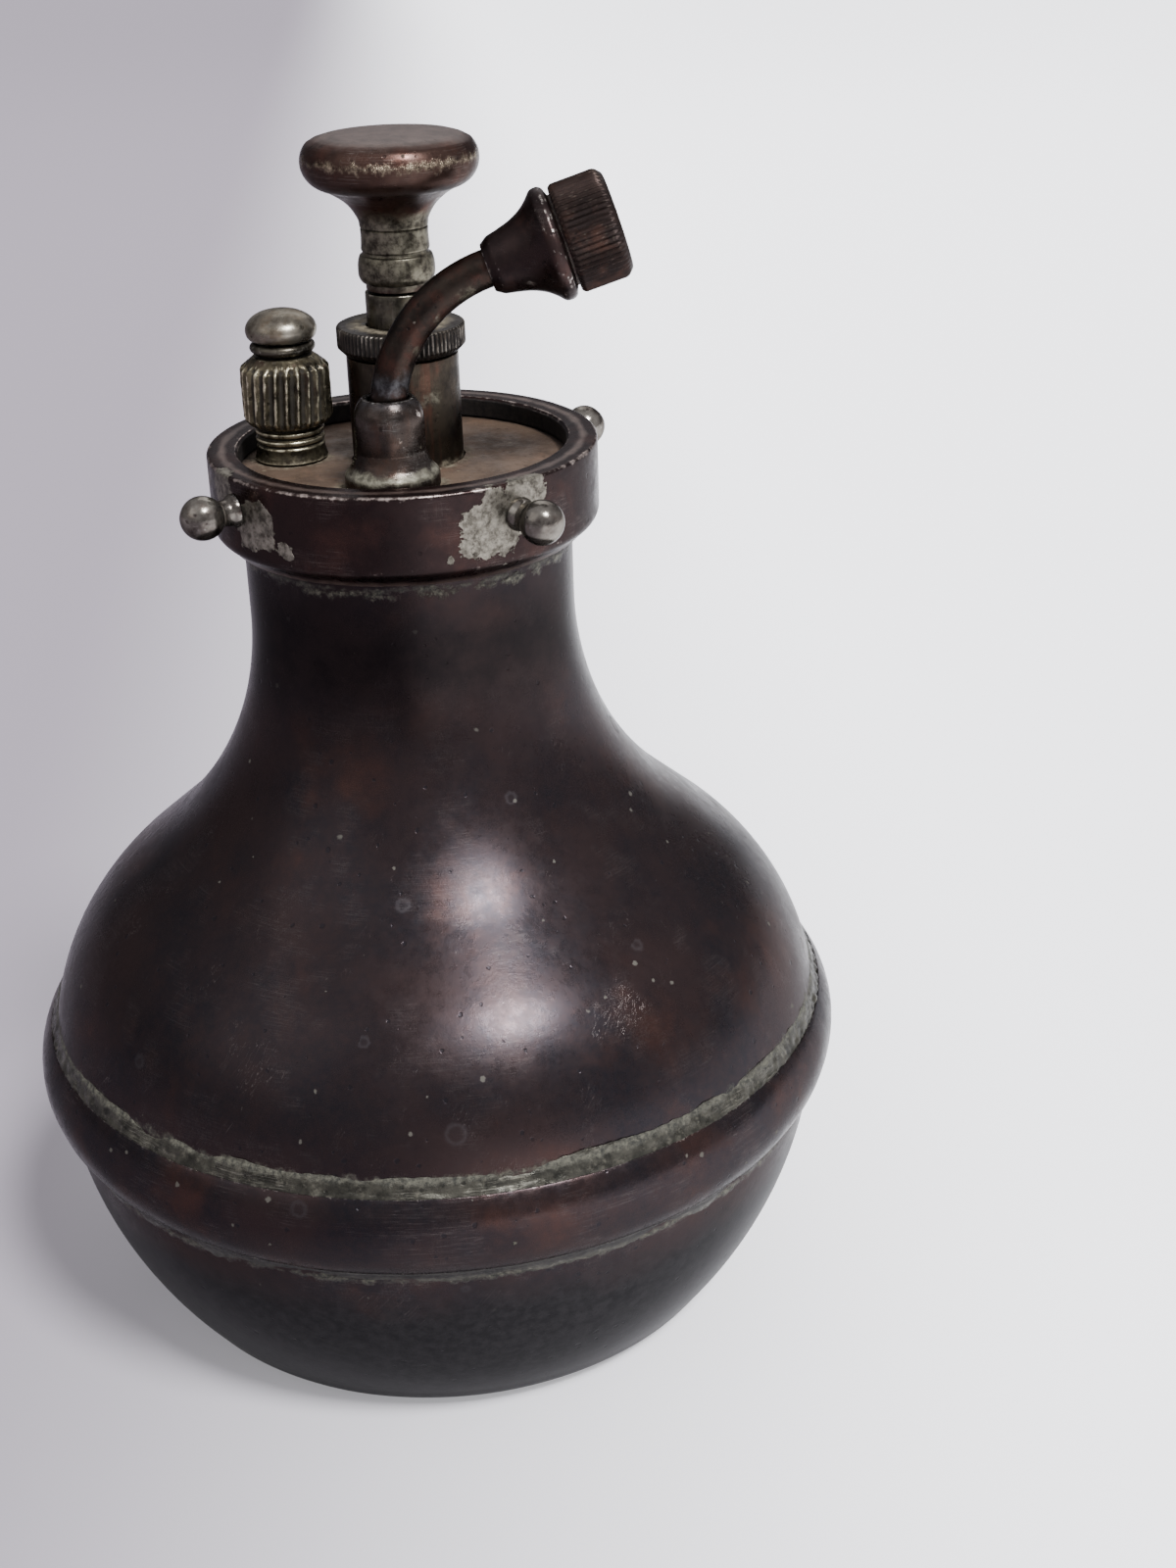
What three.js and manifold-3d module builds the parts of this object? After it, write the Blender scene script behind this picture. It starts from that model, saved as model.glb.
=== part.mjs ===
// Hand-pumped pressure sprayer: a pear-shaped copper vessel with a head that screws on by a
// collar and carries an air pump, a relief valve and a swivelling spout.
// Millimetres, +Z up, origin at the centre of the flat base.

import * as THREE from 'three';
import { mergeVertices } from 'three/addons/utils/BufferGeometryUtils.js';
import Module from 'manifold-3d';

const wasm = await Module();
wasm.setup();

// ---------------------------------------------------------------- driving dimensions

const GAP = 0.3; // joint line between two pieces that touch
const RUNNING = 0.1; // radial clearance of a rod in its guide
const SWIVEL = 0.35; // radial clearance of the spout in its boss

const SPOUT = {
  radius: 2.4, wall: 0.8, bend: 19.4, bendStart: 8.9,
  rise: THREE.MathUtils.degToRad(17.4), // of the nozzle's axis over the level
  socket: 4.4,
};
const BOSS_CAVITY = SPOUT.radius + 1.2;
const BOSS_RADIUS = BOSS_CAVITY + 0.96;
const ROD = { radius: 4.4, tail: 1.8, showing: 4.35 };
const KNOB = {
  radius: 11.6, rim: 3.4, waist: ROD.radius - 0.1, bead: ROD.radius + 0.73, beadHeight: 5.2,
  stem: 8.15,
};
const PUMP = {
  x: 0.7, y: 2.2, radius: ROD.radius + 3.1, wall: 1.1, standOut: 14.3, reach: 95.5,
  guideRadius: ROD.radius + 0.6, guideDepth: 11.5, guideLength: 2.0, gland: 2.6,
};
const GLAND = { radius: PUMP.radius + 1.07, knurl: 2.7, chamfer: 0.9, teeth: 30, depth: 0.35 };
const FOOT = {
  flange: 2.1, spigot: 7.0, port: 1.5, chamber: PUMP.radius - 4.5, ball: PUMP.radius - 5.1,
  cage: 1.7, cone: 1.6, rest: 0.4, // depth of the seat's cone, and the ball's way below it
};
const THREAD = 4.7; // crest radius of the relief valve's thread
const NUT_RADIUS = THREAD + 1.35;
const FITTING_ROOM = 1.28; // between the gland cap and the relief nut
const RELIEF = {
  x: PUMP.x - (GLAND.radius + NUT_RADIUS + FITTING_ROOM), y: 4.3,
  thread: THREAD, threadDepth: 0.35, bore: THREAD - 1.5, collar: 1.9, height: 11.4,
  nutRadius: NUT_RADIUS, nutBottom: 5.1, nutHeight: 9.2, flutes: 24, fluteDepth: 0.55,
  twist: 0.06, stem: 1.2, washer: THREAD - 0.3, dome: THREAD + 0.1, domeHeight: 4.0, web: 1.5,
  below: 5.0,
};
const OUTLET = {
  x: -1.6, y: PUMP.y - (GLAND.radius + BOSS_RADIUS + 1.07), foot: BOSS_RADIUS + 1.64,
  footHeight: 2.1, radius: BOSS_RADIUS, height: 11.7, mouth: SPOUT.radius + 0.9,
  cavity: BOSS_CAVITY, neck: 1.9,
};
const VESSEL = {
  wall: 1.0,
  bellyRadius: 57.0,
  seamHeight: 40.5,
  bowlSemiAxis: 59.9, // half height of the ellipse that the bowl is spun to
  baseFillet: 8.0,
  shoulderRadius: 35.4,
  slope: THREE.MathUtils.degToRad(49.5), // of the cone between shoulder and throat
  coneLength: 8.67, // of that straight cone
  neckRadius: NUT_RADIUS - RELIEF.x + 1.25, // clears the relief nut, the outermost fitting
  neckLength: 10.7,
};
const BAND = { halfHeight: 6.0, bulge: 2.15 };
const BUSH = { threadStand: 0.5, threadDepth: 0.5, height: 5.5, spigot: 7.0, wall: 3.2 };
const GASKET = { thickness: 1.2, width: 2.4 };
const PLATE = { thickness: 1.5 };
const COLLAR = { wall: 3.0, lip: 1.2, lipThickness: 2.7, skirt: 0.7, turnedEdge: 3.0 };
const STUD = { ballRadius: 2.9, neckRadius: 1.7, neck: 1.8, shank: 1.5, depth: 1.9, count: 4 };
const STUD_ANGLE = -57.5; // degrees round from +X
const NOZZLE_ROOT = SPOUT.radius + 1.3;
const NOZZLE = {
  root: NOZZLE_ROOT, flare: 7.2, radius: NOZZLE_ROOT + 3.5, flange: 1.6,
  spigot: NOZZLE_ROOT + 2.1, spigotLength: 4.2, back: 1.1,
};
const CAP = {
  length: 7.0, radius: NOZZLE.spigot + 1.15, teeth: 28, depth: 0.3, face: 1.5, mouth: 3.0,
};
const DIP = { radius: SPOUT.radius + 0.1, wall: 0.8, clearance: 9.0 };
const STRAINER = { radius: DIP.radius + 0.9, height: 6.0, wall: 0.6 };
const SPRING = { footWire: 0.25, footCoil: 1.6, reliefWire: 0.35, reliefCoil: 2.3 };

const ROUND = 36; // facets round the vessel
const SMALL = 16; // facets round a fitting

// ---------------------------------------------------------------- heights that follow

const tangentLoss = 1 - Math.cos(VESSEL.slope);
const throatRadius = (VESSEL.bellyRadius - VESSEL.neckRadius
  - VESSEL.coneLength * Math.sin(VESSEL.slope)) / tangentLoss - VESSEL.shoulderRadius;
const shoulderTop = VESSEL.seamHeight + VESSEL.shoulderRadius * Math.sin(VESSEL.slope);
const throatTop = shoulderTop + VESSEL.coneLength * Math.cos(VESSEL.slope)
  + throatRadius * Math.sin(VESSEL.slope);
const neckTop = throatTop + VESSEL.neckLength;
const bushTop = neckTop + GAP + BUSH.height;
const bushOuter = VESSEL.neckRadius + BUSH.threadStand;
const bushInner = bushOuter - BUSH.wall;
const gasketTop = bushTop + GAP + GASKET.thickness;
const plateTop = gasketTop + GAP + PLATE.thickness;
const collarTop = plateTop + GAP + COLLAR.lipThickness;
const collarBottom = neckTop - COLLAR.skirt + GAP;
const collarBore = bushOuter + GAP;
const collarOuter = collarBore + COLLAR.wall;
const barrelBore = PUMP.radius - PUMP.wall;
const barrelTop = plateTop + PUMP.standOut;
const barrelBottom = plateTop - PUMP.reach;
const capBottom = barrelTop + GAP;
const capTop = capBottom + GLAND.chamfer + GLAND.knurl;
const knobBottom = capTop + ROD.showing;
const footTop = barrelBottom + FOOT.spigot;
const rodEnd = footTop + GAP;

// ---------------------------------------------------------------- finishes

const finish = (color, roughness, metalness) => (
  new THREE.MeshStandardMaterial({ color, roughness, metalness })
);
const FINISH = {
  copper: finish(0x3a2622, 0.38, 0.85),
  bronzed: finish(0x4a3630, 0.42, 0.8),
  nickel: finish(0x8b877c, 0.4, 0.85),
  brass: finish(0x8c7443, 0.4, 0.85),
  plate: finish(0x6a5c50, 0.7, 0.4),
  leather: finish(0x5a3a22, 0.8, 0.0),
  rubber: finish(0x1d1c1b, 0.7, 0.0),
  felt: finish(0x6b6459, 0.95, 0.0),
  steel: finish(0x9a9a98, 0.35, 0.9),
};

// ---------------------------------------------------------------- building blocks

const object = new THREE.Group();

function part(name, geometry, material, place = [0, 0, 0]) {
  const mesh = new THREE.Mesh(geometry, material);
  mesh.name = name;
  mesh.position.set(...place);
  object.add(mesh);
  return mesh;
}

// A solid of revolution about +Z from an anticlockwise outline of [radius, height] pairs.
function turned(outline, facets = SMALL) {
  const points = outline.map(([r, z]) => new THREE.Vector2(Math.max(r, 0), z));
  const closes = outline[0][0] > 0 || outline[outline.length - 1][0] > 0;
  if (closes) points.push(points[0].clone());
  return new THREE.LatheGeometry(points, facets).rotateX(Math.PI / 2);
}

function tube(outer, inner, low, high, facets = SMALL) {
  return turned([[inner, low], [outer, low], [outer, high], [inner, high]], facets);
}

function rod(radius, low, high, facets = SMALL) {
  return turned([[0, low], [radius, low], [radius, high], [0, high]], facets);
}

function arc(cr, cz, radius, from, to, steps) {
  return Array.from({ length: steps + 1 }, (_, i) => {
    const a = from + ((to - from) * i) / steps;
    return [cr + radius * Math.cos(a), cz + radius * Math.sin(a)];
  });
}

function ridges(crest, root, low, high, count) {
  const pitch = (high - low) / count;
  return Array.from({ length: count }, (_, i) => [
    [root, low + i * pitch],
    [crest, low + (i + 0.3) * pitch],
    [crest, low + (i + 0.6) * pitch],
    [root, low + (i + 0.9) * pitch],
  ]).flat();
}

function solid(geometry) {
  const bare = geometry.index ? geometry.clone() : geometry;
  bare.deleteAttribute('normal');
  bare.deleteAttribute('uv');
  const merged = mergeVertices(bare, 1e-5);
  return new wasm.Manifold(new wasm.Mesh({
    numProp: 3,
    vertProperties: new Float32Array(merged.attributes.position.array),
    triVerts: new Uint32Array(merged.index.array),
  }));
}

function geometryOf(manifold) {
  const mesh = manifold.getMesh();
  const geometry = new THREE.BufferGeometry();
  geometry.setAttribute('position', new THREE.BufferAttribute(mesh.vertProperties, 3));
  geometry.setIndex(new THREE.BufferAttribute(mesh.triVerts, 1));
  return geometry;
}

function cut(geometry, ...tools) {
  return geometryOf(tools.reduce((body, tool) => body.subtract(solid(tool)), solid(geometry)));
}

function common(first, second) {
  return geometryOf(solid(first).intersect(solid(second)));
}

// A toothed bar along +Z, teeth cut to the given depth, with an optional lean of the teeth.
function toothed(radius, teeth, depth, low, high, lean = 0) {
  const outline = Array.from({ length: teeth * 2 }, (_, i) => {
    const a = (i * Math.PI) / teeth;
    const r = i % 2 ? radius - depth : radius;
    return new THREE.Vector2(r * Math.cos(a), r * Math.sin(a));
  });
  const bar = new THREE.ExtrudeGeometry(new THREE.Shape(outline), {
    depth: high - low, bevelEnabled: false, steps: 1,
  });
  const position = bar.attributes.position;
  for (let i = 0; i < position.count; i += 1) {
    const turn = lean * (position.getZ(i) / (high - low));
    const x = position.getX(i);
    const y = position.getY(i);
    position.setX(i, x * Math.cos(turn) - y * Math.sin(turn));
    position.setY(i, x * Math.sin(turn) + y * Math.cos(turn));
  }
  return bar.translate(0, 0, low);
}

class Helix extends THREE.Curve {
  constructor(radius, low, high, turns) {
    super();
    Object.assign(this, { radius, low, high, turns });
  }

  getPoint(t, target = new THREE.Vector3()) {
    const a = t * this.turns * 2 * Math.PI;
    const z = this.low + t * (this.high - this.low);
    return target.set(this.radius * Math.cos(a), this.radius * Math.sin(a), z);
  }
}

function coil(radius, wire, low, high, turns) {
  const section = new THREE.Shape().absarc(0, 0, wire, 0, 2 * Math.PI);
  return new THREE.ExtrudeGeometry(section, {
    steps: turns * 9,
    curveSegments: 3,
    bevelEnabled: false,
    extrudePath: new Helix(radius, low + wire, high - wire, turns),
  });
}

// ---------------------------------------------------------------- vessel

function bowlArc(inset) {
  const radial = VESSEL.bellyRadius - inset;
  const axial = VESSEL.bowlSemiAxis - inset;
  const drop = VESSEL.seamHeight - inset;
  const last = Math.asin(drop / axial);
  const edge = radial * Math.cos(last);
  const fall = Math.atan2(axial * Math.cos(last), radial * Math.sin(last));
  const fillet = VESSEL.baseFillet - inset;
  const run = fillet * Math.tan(fall / 2);
  const clear = last - (run / axial) * 1.6;
  const side = Array.from({ length: 7 }, (_, i) => {
    const a = (clear * i) / 6;
    return [radial * Math.cos(a), VESSEL.seamHeight - axial * Math.sin(a)];
  });
  side[0][1] -= GAP / 2;
  const corner = arc(edge - run, inset + fillet, fillet, fall - Math.PI / 2, -Math.PI / 2, 3);
  return [...side.filter(([, z]) => z > corner[0][1] + 0.5), ...corner];
}

function lowerBowl() {
  const outside = bowlArc(0).reverse();
  const inside = bowlArc(VESSEL.wall);
  part('lower_bowl', turned([[0, 0], ...outside, ...inside, [0, VESSEL.wall]], ROUND), FINISH.copper);
}

function shoulderArc(inset) {
  const { bellyRadius, neckRadius, shoulderRadius, slope, seamHeight } = VESSEL;
  const shoulder = arc(bellyRadius - shoulderRadius, seamHeight, shoulderRadius - inset, 0, slope, 5);
  const throat = arc(
    neckRadius + throatRadius, throatTop, throatRadius + inset, Math.PI + slope, Math.PI, 5,
  );
  shoulder[0][1] += GAP / 2;
  return [...shoulder, ...throat, [neckRadius - inset, neckTop]];
}

function upperShell() {
  const outline = [...shoulderArc(0), ...shoulderArc(VESSEL.wall).reverse()];
  part('upper_shell', turned(outline, ROUND), FINISH.copper);
}

function bellyBand() {
  const inner = VESSEL.bellyRadius + GAP;
  const { halfHeight, bulge } = BAND;
  const radius = (halfHeight ** 2 + bulge ** 2) / (2 * bulge);
  const sweep = Math.asin(halfHeight / radius);
  const face = arc(inner + bulge - radius, VESSEL.seamHeight, radius, -sweep, sweep, 6);
  part('belly_band', turned(face, ROUND), FINISH.copper);
}

function neckBush() {
  const spigot = VESSEL.neckRadius - VESSEL.wall - GAP;
  const root = bushOuter - BUSH.threadDepth;
  const seat = neckTop + GAP;
  part('neck_bush', turned([
    [bushInner, neckTop - BUSH.spigot],
    [spigot, neckTop - BUSH.spigot],
    [spigot, seat],
    ...ridges(bushOuter, root, seat, bushTop - 0.6, 3),
    [root, bushTop],
    [bushInner, bushTop],
  ], ROUND), FINISH.brass);
}

// ---------------------------------------------------------------- head

const pump = [PUMP.x, PUMP.y, 0];
const relief = [RELIEF.x, RELIEF.y, 0];
const outlet = [OUTLET.x, OUTLET.y, 0];

function headPlate() {
  const low = plateTop - PLATE.thickness;
  const hole = (radius, [x, y]) => rod(radius, low - 1, plateTop + 1).translate(x, y, 0);
  part('head_gasket', tube(bushOuter - GAP, bushOuter - GAP - GASKET.width,
    bushTop + GAP, gasketTop, ROUND), FINISH.rubber);
  part('head_plate', cut(
    rod(bushOuter, low, plateTop, ROUND),
    hole(PUMP.radius + GAP, pump),
    hole(RELIEF.bore + 0.7 + GAP, relief),
    hole(DIP.radius + GAP, outlet),
  ), FINISH.plate);
}

const studHeight = collarTop - 4.3;

function collar() {
  const root = collarOuter - STUD.depth;
  const sockets = Array.from({ length: STUD.count }, (_, i) => {
    const a = THREE.MathUtils.degToRad(STUD_ANGLE) + (i * 2 * Math.PI) / STUD.count;
    return rod(STUD.shank + GAP, root, collarOuter + 1, 16)
      .rotateY(Math.PI / 2).rotateZ(a).translate(0, 0, studHeight);
  });
  const ring = turned([
    [collarBore, collarBottom],
    [collarBore + 0.7, collarBottom],
    ...arc(collarOuter - 1.9, collarBottom + COLLAR.turnedEdge, 1.9, -Math.PI / 3, 0, 3),
    [collarOuter, collarTop - 0.4],
    [collarOuter - 0.4, collarTop],
    [collarBore - COLLAR.lip + 0.3, collarTop],
    [collarBore - COLLAR.lip, collarTop - 0.5],
    [collarBore - COLLAR.lip, plateTop + GAP],
    [collarBore, plateTop + GAP],
  ], ROUND);
  part('collar_ring', cut(ring, ...sockets), FINISH.copper);
}

function studs() {
  const face = collarOuter + GAP;
  const centre = face + STUD.neck + STUD.ballRadius * 0.9;
  const join = Math.asin(STUD.neckRadius / STUD.ballRadius);
  const ball = arc(0, centre, STUD.ballRadius, join - Math.PI / 2, Math.PI / 2, 6);
  for (let i = 0; i < STUD.count; i += 1) {
    const outline = [
      [0, collarOuter - STUD.depth + GAP],
      [STUD.shank, collarOuter - STUD.depth + GAP],
      [STUD.shank, face],
      [STUD.neckRadius + 0.5, face],
      [STUD.neckRadius, face + 0.7],
      ...ball.slice(0, -1),
      [0, centre + STUD.ballRadius],
    ];
    const stud = part(`collar_stud_${i + 1}`, turned(outline, 12).rotateY(Math.PI / 2),
      FINISH.nickel, [0, 0, studHeight]);
    stud.rotation.z = THREE.MathUtils.degToRad(STUD_ANGLE) + (i * 2 * Math.PI) / STUD.count;
  }
}

// ---------------------------------------------------------------- pump

const guideTop = barrelTop - PUMP.guideDepth + PUMP.guideLength;
const packingTop = guideTop + GAP + PUMP.gland;

function pumpBarrel() {
  part('pump_barrel', turned([
    [barrelBore, barrelBottom],
    [PUMP.radius, barrelBottom],
    [PUMP.radius, barrelTop],
    [barrelBore, barrelTop],
    [barrelBore, guideTop],
    [PUMP.guideRadius, guideTop],
    [PUMP.guideRadius, guideTop - PUMP.guideLength],
    [barrelBore, guideTop - PUMP.guideLength],
  ]), FINISH.bronzed, pump);
  part('gland_packing', tube(barrelBore - GAP, ROD.radius + RUNNING, guideTop + GAP, packingTop),
    FINISH.felt, pump);
}

function glandCap() {
  const knurlBottom = capBottom + GLAND.chamfer;
  const bore = ROD.radius + RUNNING;
  const blank = turned([
    [0, capBottom],
    [PUMP.radius + 0.2, capBottom],
    [GLAND.radius, knurlBottom],
    [GLAND.radius, capTop - 0.2],
    [GLAND.radius - 0.2, capTop],
    [0, capTop],
  ], 2 * GLAND.teeth);
  const head = common(blank, toothed(GLAND.radius, GLAND.teeth, GLAND.depth, capBottom, capTop));
  const spigot = rod(barrelBore - GAP, packingTop + GAP, capBottom + 1);
  const body = solid(head).add(solid(spigot)).subtract(solid(rod(bore, packingTop, capTop + 1)));
  part('gland_cap', geometryOf(body), FINISH.bronzed, pump);
}

const socketTop = knobBottom + 6.5;

function plungerKnob() {
  const { radius, rim, waist, bead, beadHeight, stem } = KNOB;
  const beadTop = knobBottom + beadHeight;
  const widest = beadTop + stem + rim;
  const edge = arc(radius - rim, widest, rim, -Math.PI * 0.44, Math.PI / 2, 8);
  const flare = new THREE.QuadraticBezierCurve(
    new THREE.Vector2(waist - 0.1, beadTop + 2.7), new THREE.Vector2(waist + 0.1, edge[0][1] - 1.2),
    new THREE.Vector2(...edge[0]),
  ).getPoints(5).slice(0, -1).map((p) => [p.x, p.y]);
  part('plunger_knob', turned([
    [ROD.tail + 1.2 + GAP, knobBottom + GAP],
    [waist - 0.1, knobBottom + GAP],
    [waist - 0.1, knobBottom + 1.1],
    [bead, knobBottom + 1.9],
    [bead, beadTop - 1.7],
    [waist + 0.3, beadTop - 0.5],
    [waist - 0.15, beadTop],
    [waist + 0.1, beadTop + 0.4],
    ...flare,
    ...edge,
    [0, widest + rim + 0.1],
    [0, socketTop + GAP],
    [ROD.tail + 1.2 + GAP, socketTop + GAP],
  ], 24), FINISH.bronzed, pump);
}

function plunger() {
  const seat = rodEnd + 11.6;
  part('plunger_rod', turned([
    [0, rodEnd],
    [ROD.tail, rodEnd],
    [ROD.tail, seat],
    [ROD.radius, seat],
    [ROD.radius, knobBottom],
    [ROD.tail + 1.2, knobBottom],
    [ROD.tail + 1.2, socketTop],
    [0, socketTop],
  ]), FINISH.nickel, pump);
  const bore = ROD.tail + GAP;
  const back = seat - GAP;
  part('piston_back_plate', tube(barrelBore - 0.6, bore, back - 1.5, back), FINISH.brass, pump);
  const cup = back - 1.5 - GAP;
  const lip = barrelBore - 0.15;
  part('piston_cup', turned([
    [bore, cup - 1.2], [lip - 1.2, cup - 1.2], [lip - 1.2, cup - 5.0],
    [lip, cup - 5.0], [lip, cup - 0.8], [lip - 0.8, cup], [bore, cup],
  ]), FINISH.leather, pump);
  const spreader = cup - 1.2 - GAP;
  part('piston_spreader', tube(lip - 1.2 - GAP, bore, spreader - 1.6, spreader), FINISH.brass, pump);
  const nut = spreader - 1.6 - GAP;
  part('piston_nut', tube(3.2, bore, nut - 2.6, nut, 6), FINISH.brass, pump);
}

function footValve() {
  const low = barrelBottom - GAP - FOOT.flange;
  const seat = footTop - 1.6;
  part('foot_valve_body', turned([
    [FOOT.chamber, low],
    [PUMP.radius, low],
    [PUMP.radius, barrelBottom - GAP],
    [barrelBore - GAP, barrelBottom - GAP],
    [barrelBore - GAP, footTop],
    [FOOT.port, footTop],
    [FOOT.port, seat],
    [FOOT.chamber, seat - FOOT.cone],
  ]), FINISH.brass, pump);
  const flare = FOOT.chamber - FOOT.port;
  const reach = (FOOT.ball + FOOT.rest) * Math.hypot(flare, FOOT.cone) - FOOT.cone * FOOT.port;
  const ballCentre = seat - reach / flare;
  const ball = new THREE.SphereGeometry(FOOT.ball, 12, 8).rotateX(Math.PI / 2);
  part('foot_valve_ball', ball, FINISH.steel, [PUMP.x, PUMP.y, ballCentre]);
  const cageTop = low - GAP;
  const ports = Array.from({ length: 4 }, (_, i) => {
    const a = (i * Math.PI) / 2 + Math.PI / 4;
    return rod(0.7, cageTop - 3, cageTop + 1, 12).translate(1.7 * Math.cos(a), 1.7 * Math.sin(a), 0);
  });
  part('foot_valve_cage', cut(rod(PUMP.radius, cageTop - FOOT.cage, cageTop), ...ports),
    FINISH.brass, pump);
  part('foot_valve_spring', coil(SPRING.footCoil, SPRING.footWire, cageTop + GAP,
    ballCentre - FOOT.ball - GAP / 3, 2), FINISH.steel, pump);
}

// ---------------------------------------------------------------- relief valve

const stubTop = plateTop + GAP + RELIEF.height;
const webTop = stubTop - 2.4;
const nutLow = plateTop + RELIEF.nutBottom;
const nutHigh = nutLow + RELIEF.nutHeight;
const stemNutTop = plateTop - 2.6;

function reliefStub() {
  const seat = plateTop + GAP;
  const spigot = RELIEF.bore + 0.7;
  const root = RELIEF.thread - RELIEF.threadDepth;
  part('relief_stub', turned([
    [RELIEF.bore, plateTop - RELIEF.below + 2.2],
    [spigot, plateTop - RELIEF.below + 2.2],
    [spigot, seat],
    [RELIEF.thread + 0.3, seat],
    [RELIEF.thread, seat + 0.4],
    [RELIEF.thread, seat + RELIEF.collar],
    ...ridges(RELIEF.thread, root, seat + RELIEF.collar, seat + RELIEF.collar + 5.2, 3),
    [root, stubTop],
    [RELIEF.bore, stubTop],
    [RELIEF.bore, webTop],
    [RELIEF.stem + 0.4, webTop],
    [RELIEF.stem + 0.4, webTop - RELIEF.web],
    [RELIEF.bore, webTop - RELIEF.web],
  ]), FINISH.nickel, relief);
  part('relief_spring', coil(SPRING.reliefCoil, SPRING.reliefWire, stemNutTop + GAP / 3,
    webTop - RELIEF.web - GAP, 4), FINISH.steel, relief);
}

function reliefNut() {
  const { nutRadius, flutes, fluteDepth, twist, thread, stem } = RELIEF;
  const blank = turned([
    [0, nutLow],
    [nutRadius - 0.9, nutLow],
    [nutRadius, nutLow + 0.8],
    [nutRadius, nutHigh - 1.5],
    [nutRadius - 2.1, nutHigh],
    [0, nutHigh],
  ], 2 * flutes);
  const bore = rod(thread + GAP, nutLow - 1, stubTop + GAP);
  const fluted = common(blank, toothed(nutRadius, flutes, fluteDepth, nutLow, nutHigh, twist));
  part('relief_nut', cut(fluted, bore, rod(stem + 0.4, nutLow, nutHigh + 1, 16)),
    FINISH.nickel, relief);
}

function reliefButton() {
  const { stem, washer, dome, domeHeight } = RELIEF;
  const low = nutHigh + GAP;
  const under = low + 1.5 + GAP;
  const rim = 1.3;
  part('relief_washer', turned([
    [stem + GAP, low], [washer - 0.6, low], [washer, low + 0.5],
    [washer, low + 1.0], [washer - 0.4, low + 1.5], [stem + GAP, low + 1.5],
  ]), FINISH.rubber, relief);
  const crown = arc(0, 0, 1, 0, Math.PI / 2, 6).map(([c, s]) => [
    dome * c, under + rim + (domeHeight - rim) * s,
  ]);
  part('relief_button', turned([
    [0, stemNutTop - 2.4],
    [stem, stemNutTop - 2.4],
    [stem, under],
    [dome - 0.5, under],
    ...crown,
  ]), FINISH.nickel, relief);
  part('relief_stem_nut', tube(RELIEF.bore - 0.4, stem + GAP, stemNutTop - 1.6, stemNutTop, 6),
    FINISH.brass, relief);
}

// ---------------------------------------------------------------- outlet and spout

const bossLow = plateTop + GAP;
const bossTop = bossLow + OUTLET.height;

function outletBoss() {
  const { foot, footHeight, radius, mouth, cavity, neck } = OUTLET;
  const rounding = radius - mouth;
  const straight = bossTop - 2 * rounding;
  const waist = bossLow + footHeight;
  part('outlet_boss', turned([
    [DIP.radius + GAP, bossLow],
    [foot, bossLow],
    [foot, waist],
    [foot - 1.0, waist + 0.45],
    [radius, waist + 1.9],
    ...arc(0, 0, 1, 0, Math.PI / 2, 4).map(([c, s]) => [
      mouth + rounding * c, straight + 2 * rounding * s,
    ]),
    [SPOUT.radius + SWIVEL, bossTop - 0.2],
    [SPOUT.radius + SWIVEL, bossTop - neck],
    [cavity, bossTop - neck],
    [cavity, waist + 0.8],
    [DIP.radius + GAP, waist + 0.8],
  ]), FINISH.nickel, outlet);
}

const pipeEnd = bossLow + OUTLET.footHeight + 0.8 + GAP;
const bendLow = bossLow + SPOUT.bendStart;
const turn = Math.PI / 2 - SPOUT.rise;
const along = new THREE.Vector3(Math.cos(SPOUT.rise), 0, Math.sin(SPOUT.rise));
const bendOut = new THREE.Vector3(
  OUTLET.x + SPOUT.bend * (1 - Math.cos(turn)), OUTLET.y, bendLow + SPOUT.bend * Math.sin(turn),
);

// The spout's centre line: straight up out of the boss, one bend, and straight into the nozzle.
class SpoutLine extends THREE.Curve {
  getPoint(t, target = new THREE.Vector3()) {
    const rise = bendLow - pipeEnd;
    const bend = SPOUT.bend * turn;
    const s = t * (rise + bend + SPOUT.socket);
    if (s <= rise) return target.set(OUTLET.x, OUTLET.y, pipeEnd + s);
    if (s >= rise + bend) return target.copy(bendOut).addScaledVector(along, s - rise - bend);
    const a = (s - rise) / SPOUT.bend;
    return target.set(
      OUTLET.x + SPOUT.bend * (1 - Math.cos(a)), OUTLET.y, bendLow + SPOUT.bend * Math.sin(a),
    );
  }
}

function pipe(radius, wall, path, steps, facets) {
  const section = new THREE.Shape().absarc(0, 0, radius, 0, 2 * Math.PI);
  section.holes.push(new THREE.Path().absarc(0, 0, radius - wall, 0, 2 * Math.PI, true));
  return new THREE.ExtrudeGeometry(section, {
    steps, curveSegments: facets, bevelEnabled: false, extrudePath: path,
  });
}

function spout() {
  part('spout_tube', pipe(SPOUT.radius, SPOUT.wall, new SpoutLine(), 16, 5), FINISH.bronzed);
  const ringLow = pipeEnd + 0.6;
  part('spout_ring', tube(OUTLET.cavity - 0.2, SPOUT.radius + GAP, ringLow, ringLow + 2.2),
    FINISH.brass, outlet);
}

// Nozzle pieces are turned about +Z and laid along the spout's end, heights being distances
// from the nozzle's small end.
const nozzleStart = bendOut.clone().addScaledVector(along, NOZZLE.back - GAP);

function onNozzle(name, geometry, material) {
  const piece = part(name, geometry, material, nozzleStart.toArray());
  piece.rotation.y = Math.PI / 2 - SPOUT.rise;
  return piece;
}

const coneEnd = NOZZLE.flare + NOZZLE.flange;
const spigotEnd = coneEnd + 0.4 + NOZZLE.spigotLength;
const capStart = coneEnd + 0.4 + GAP;
const capEnd = capStart + CAP.length;

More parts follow.
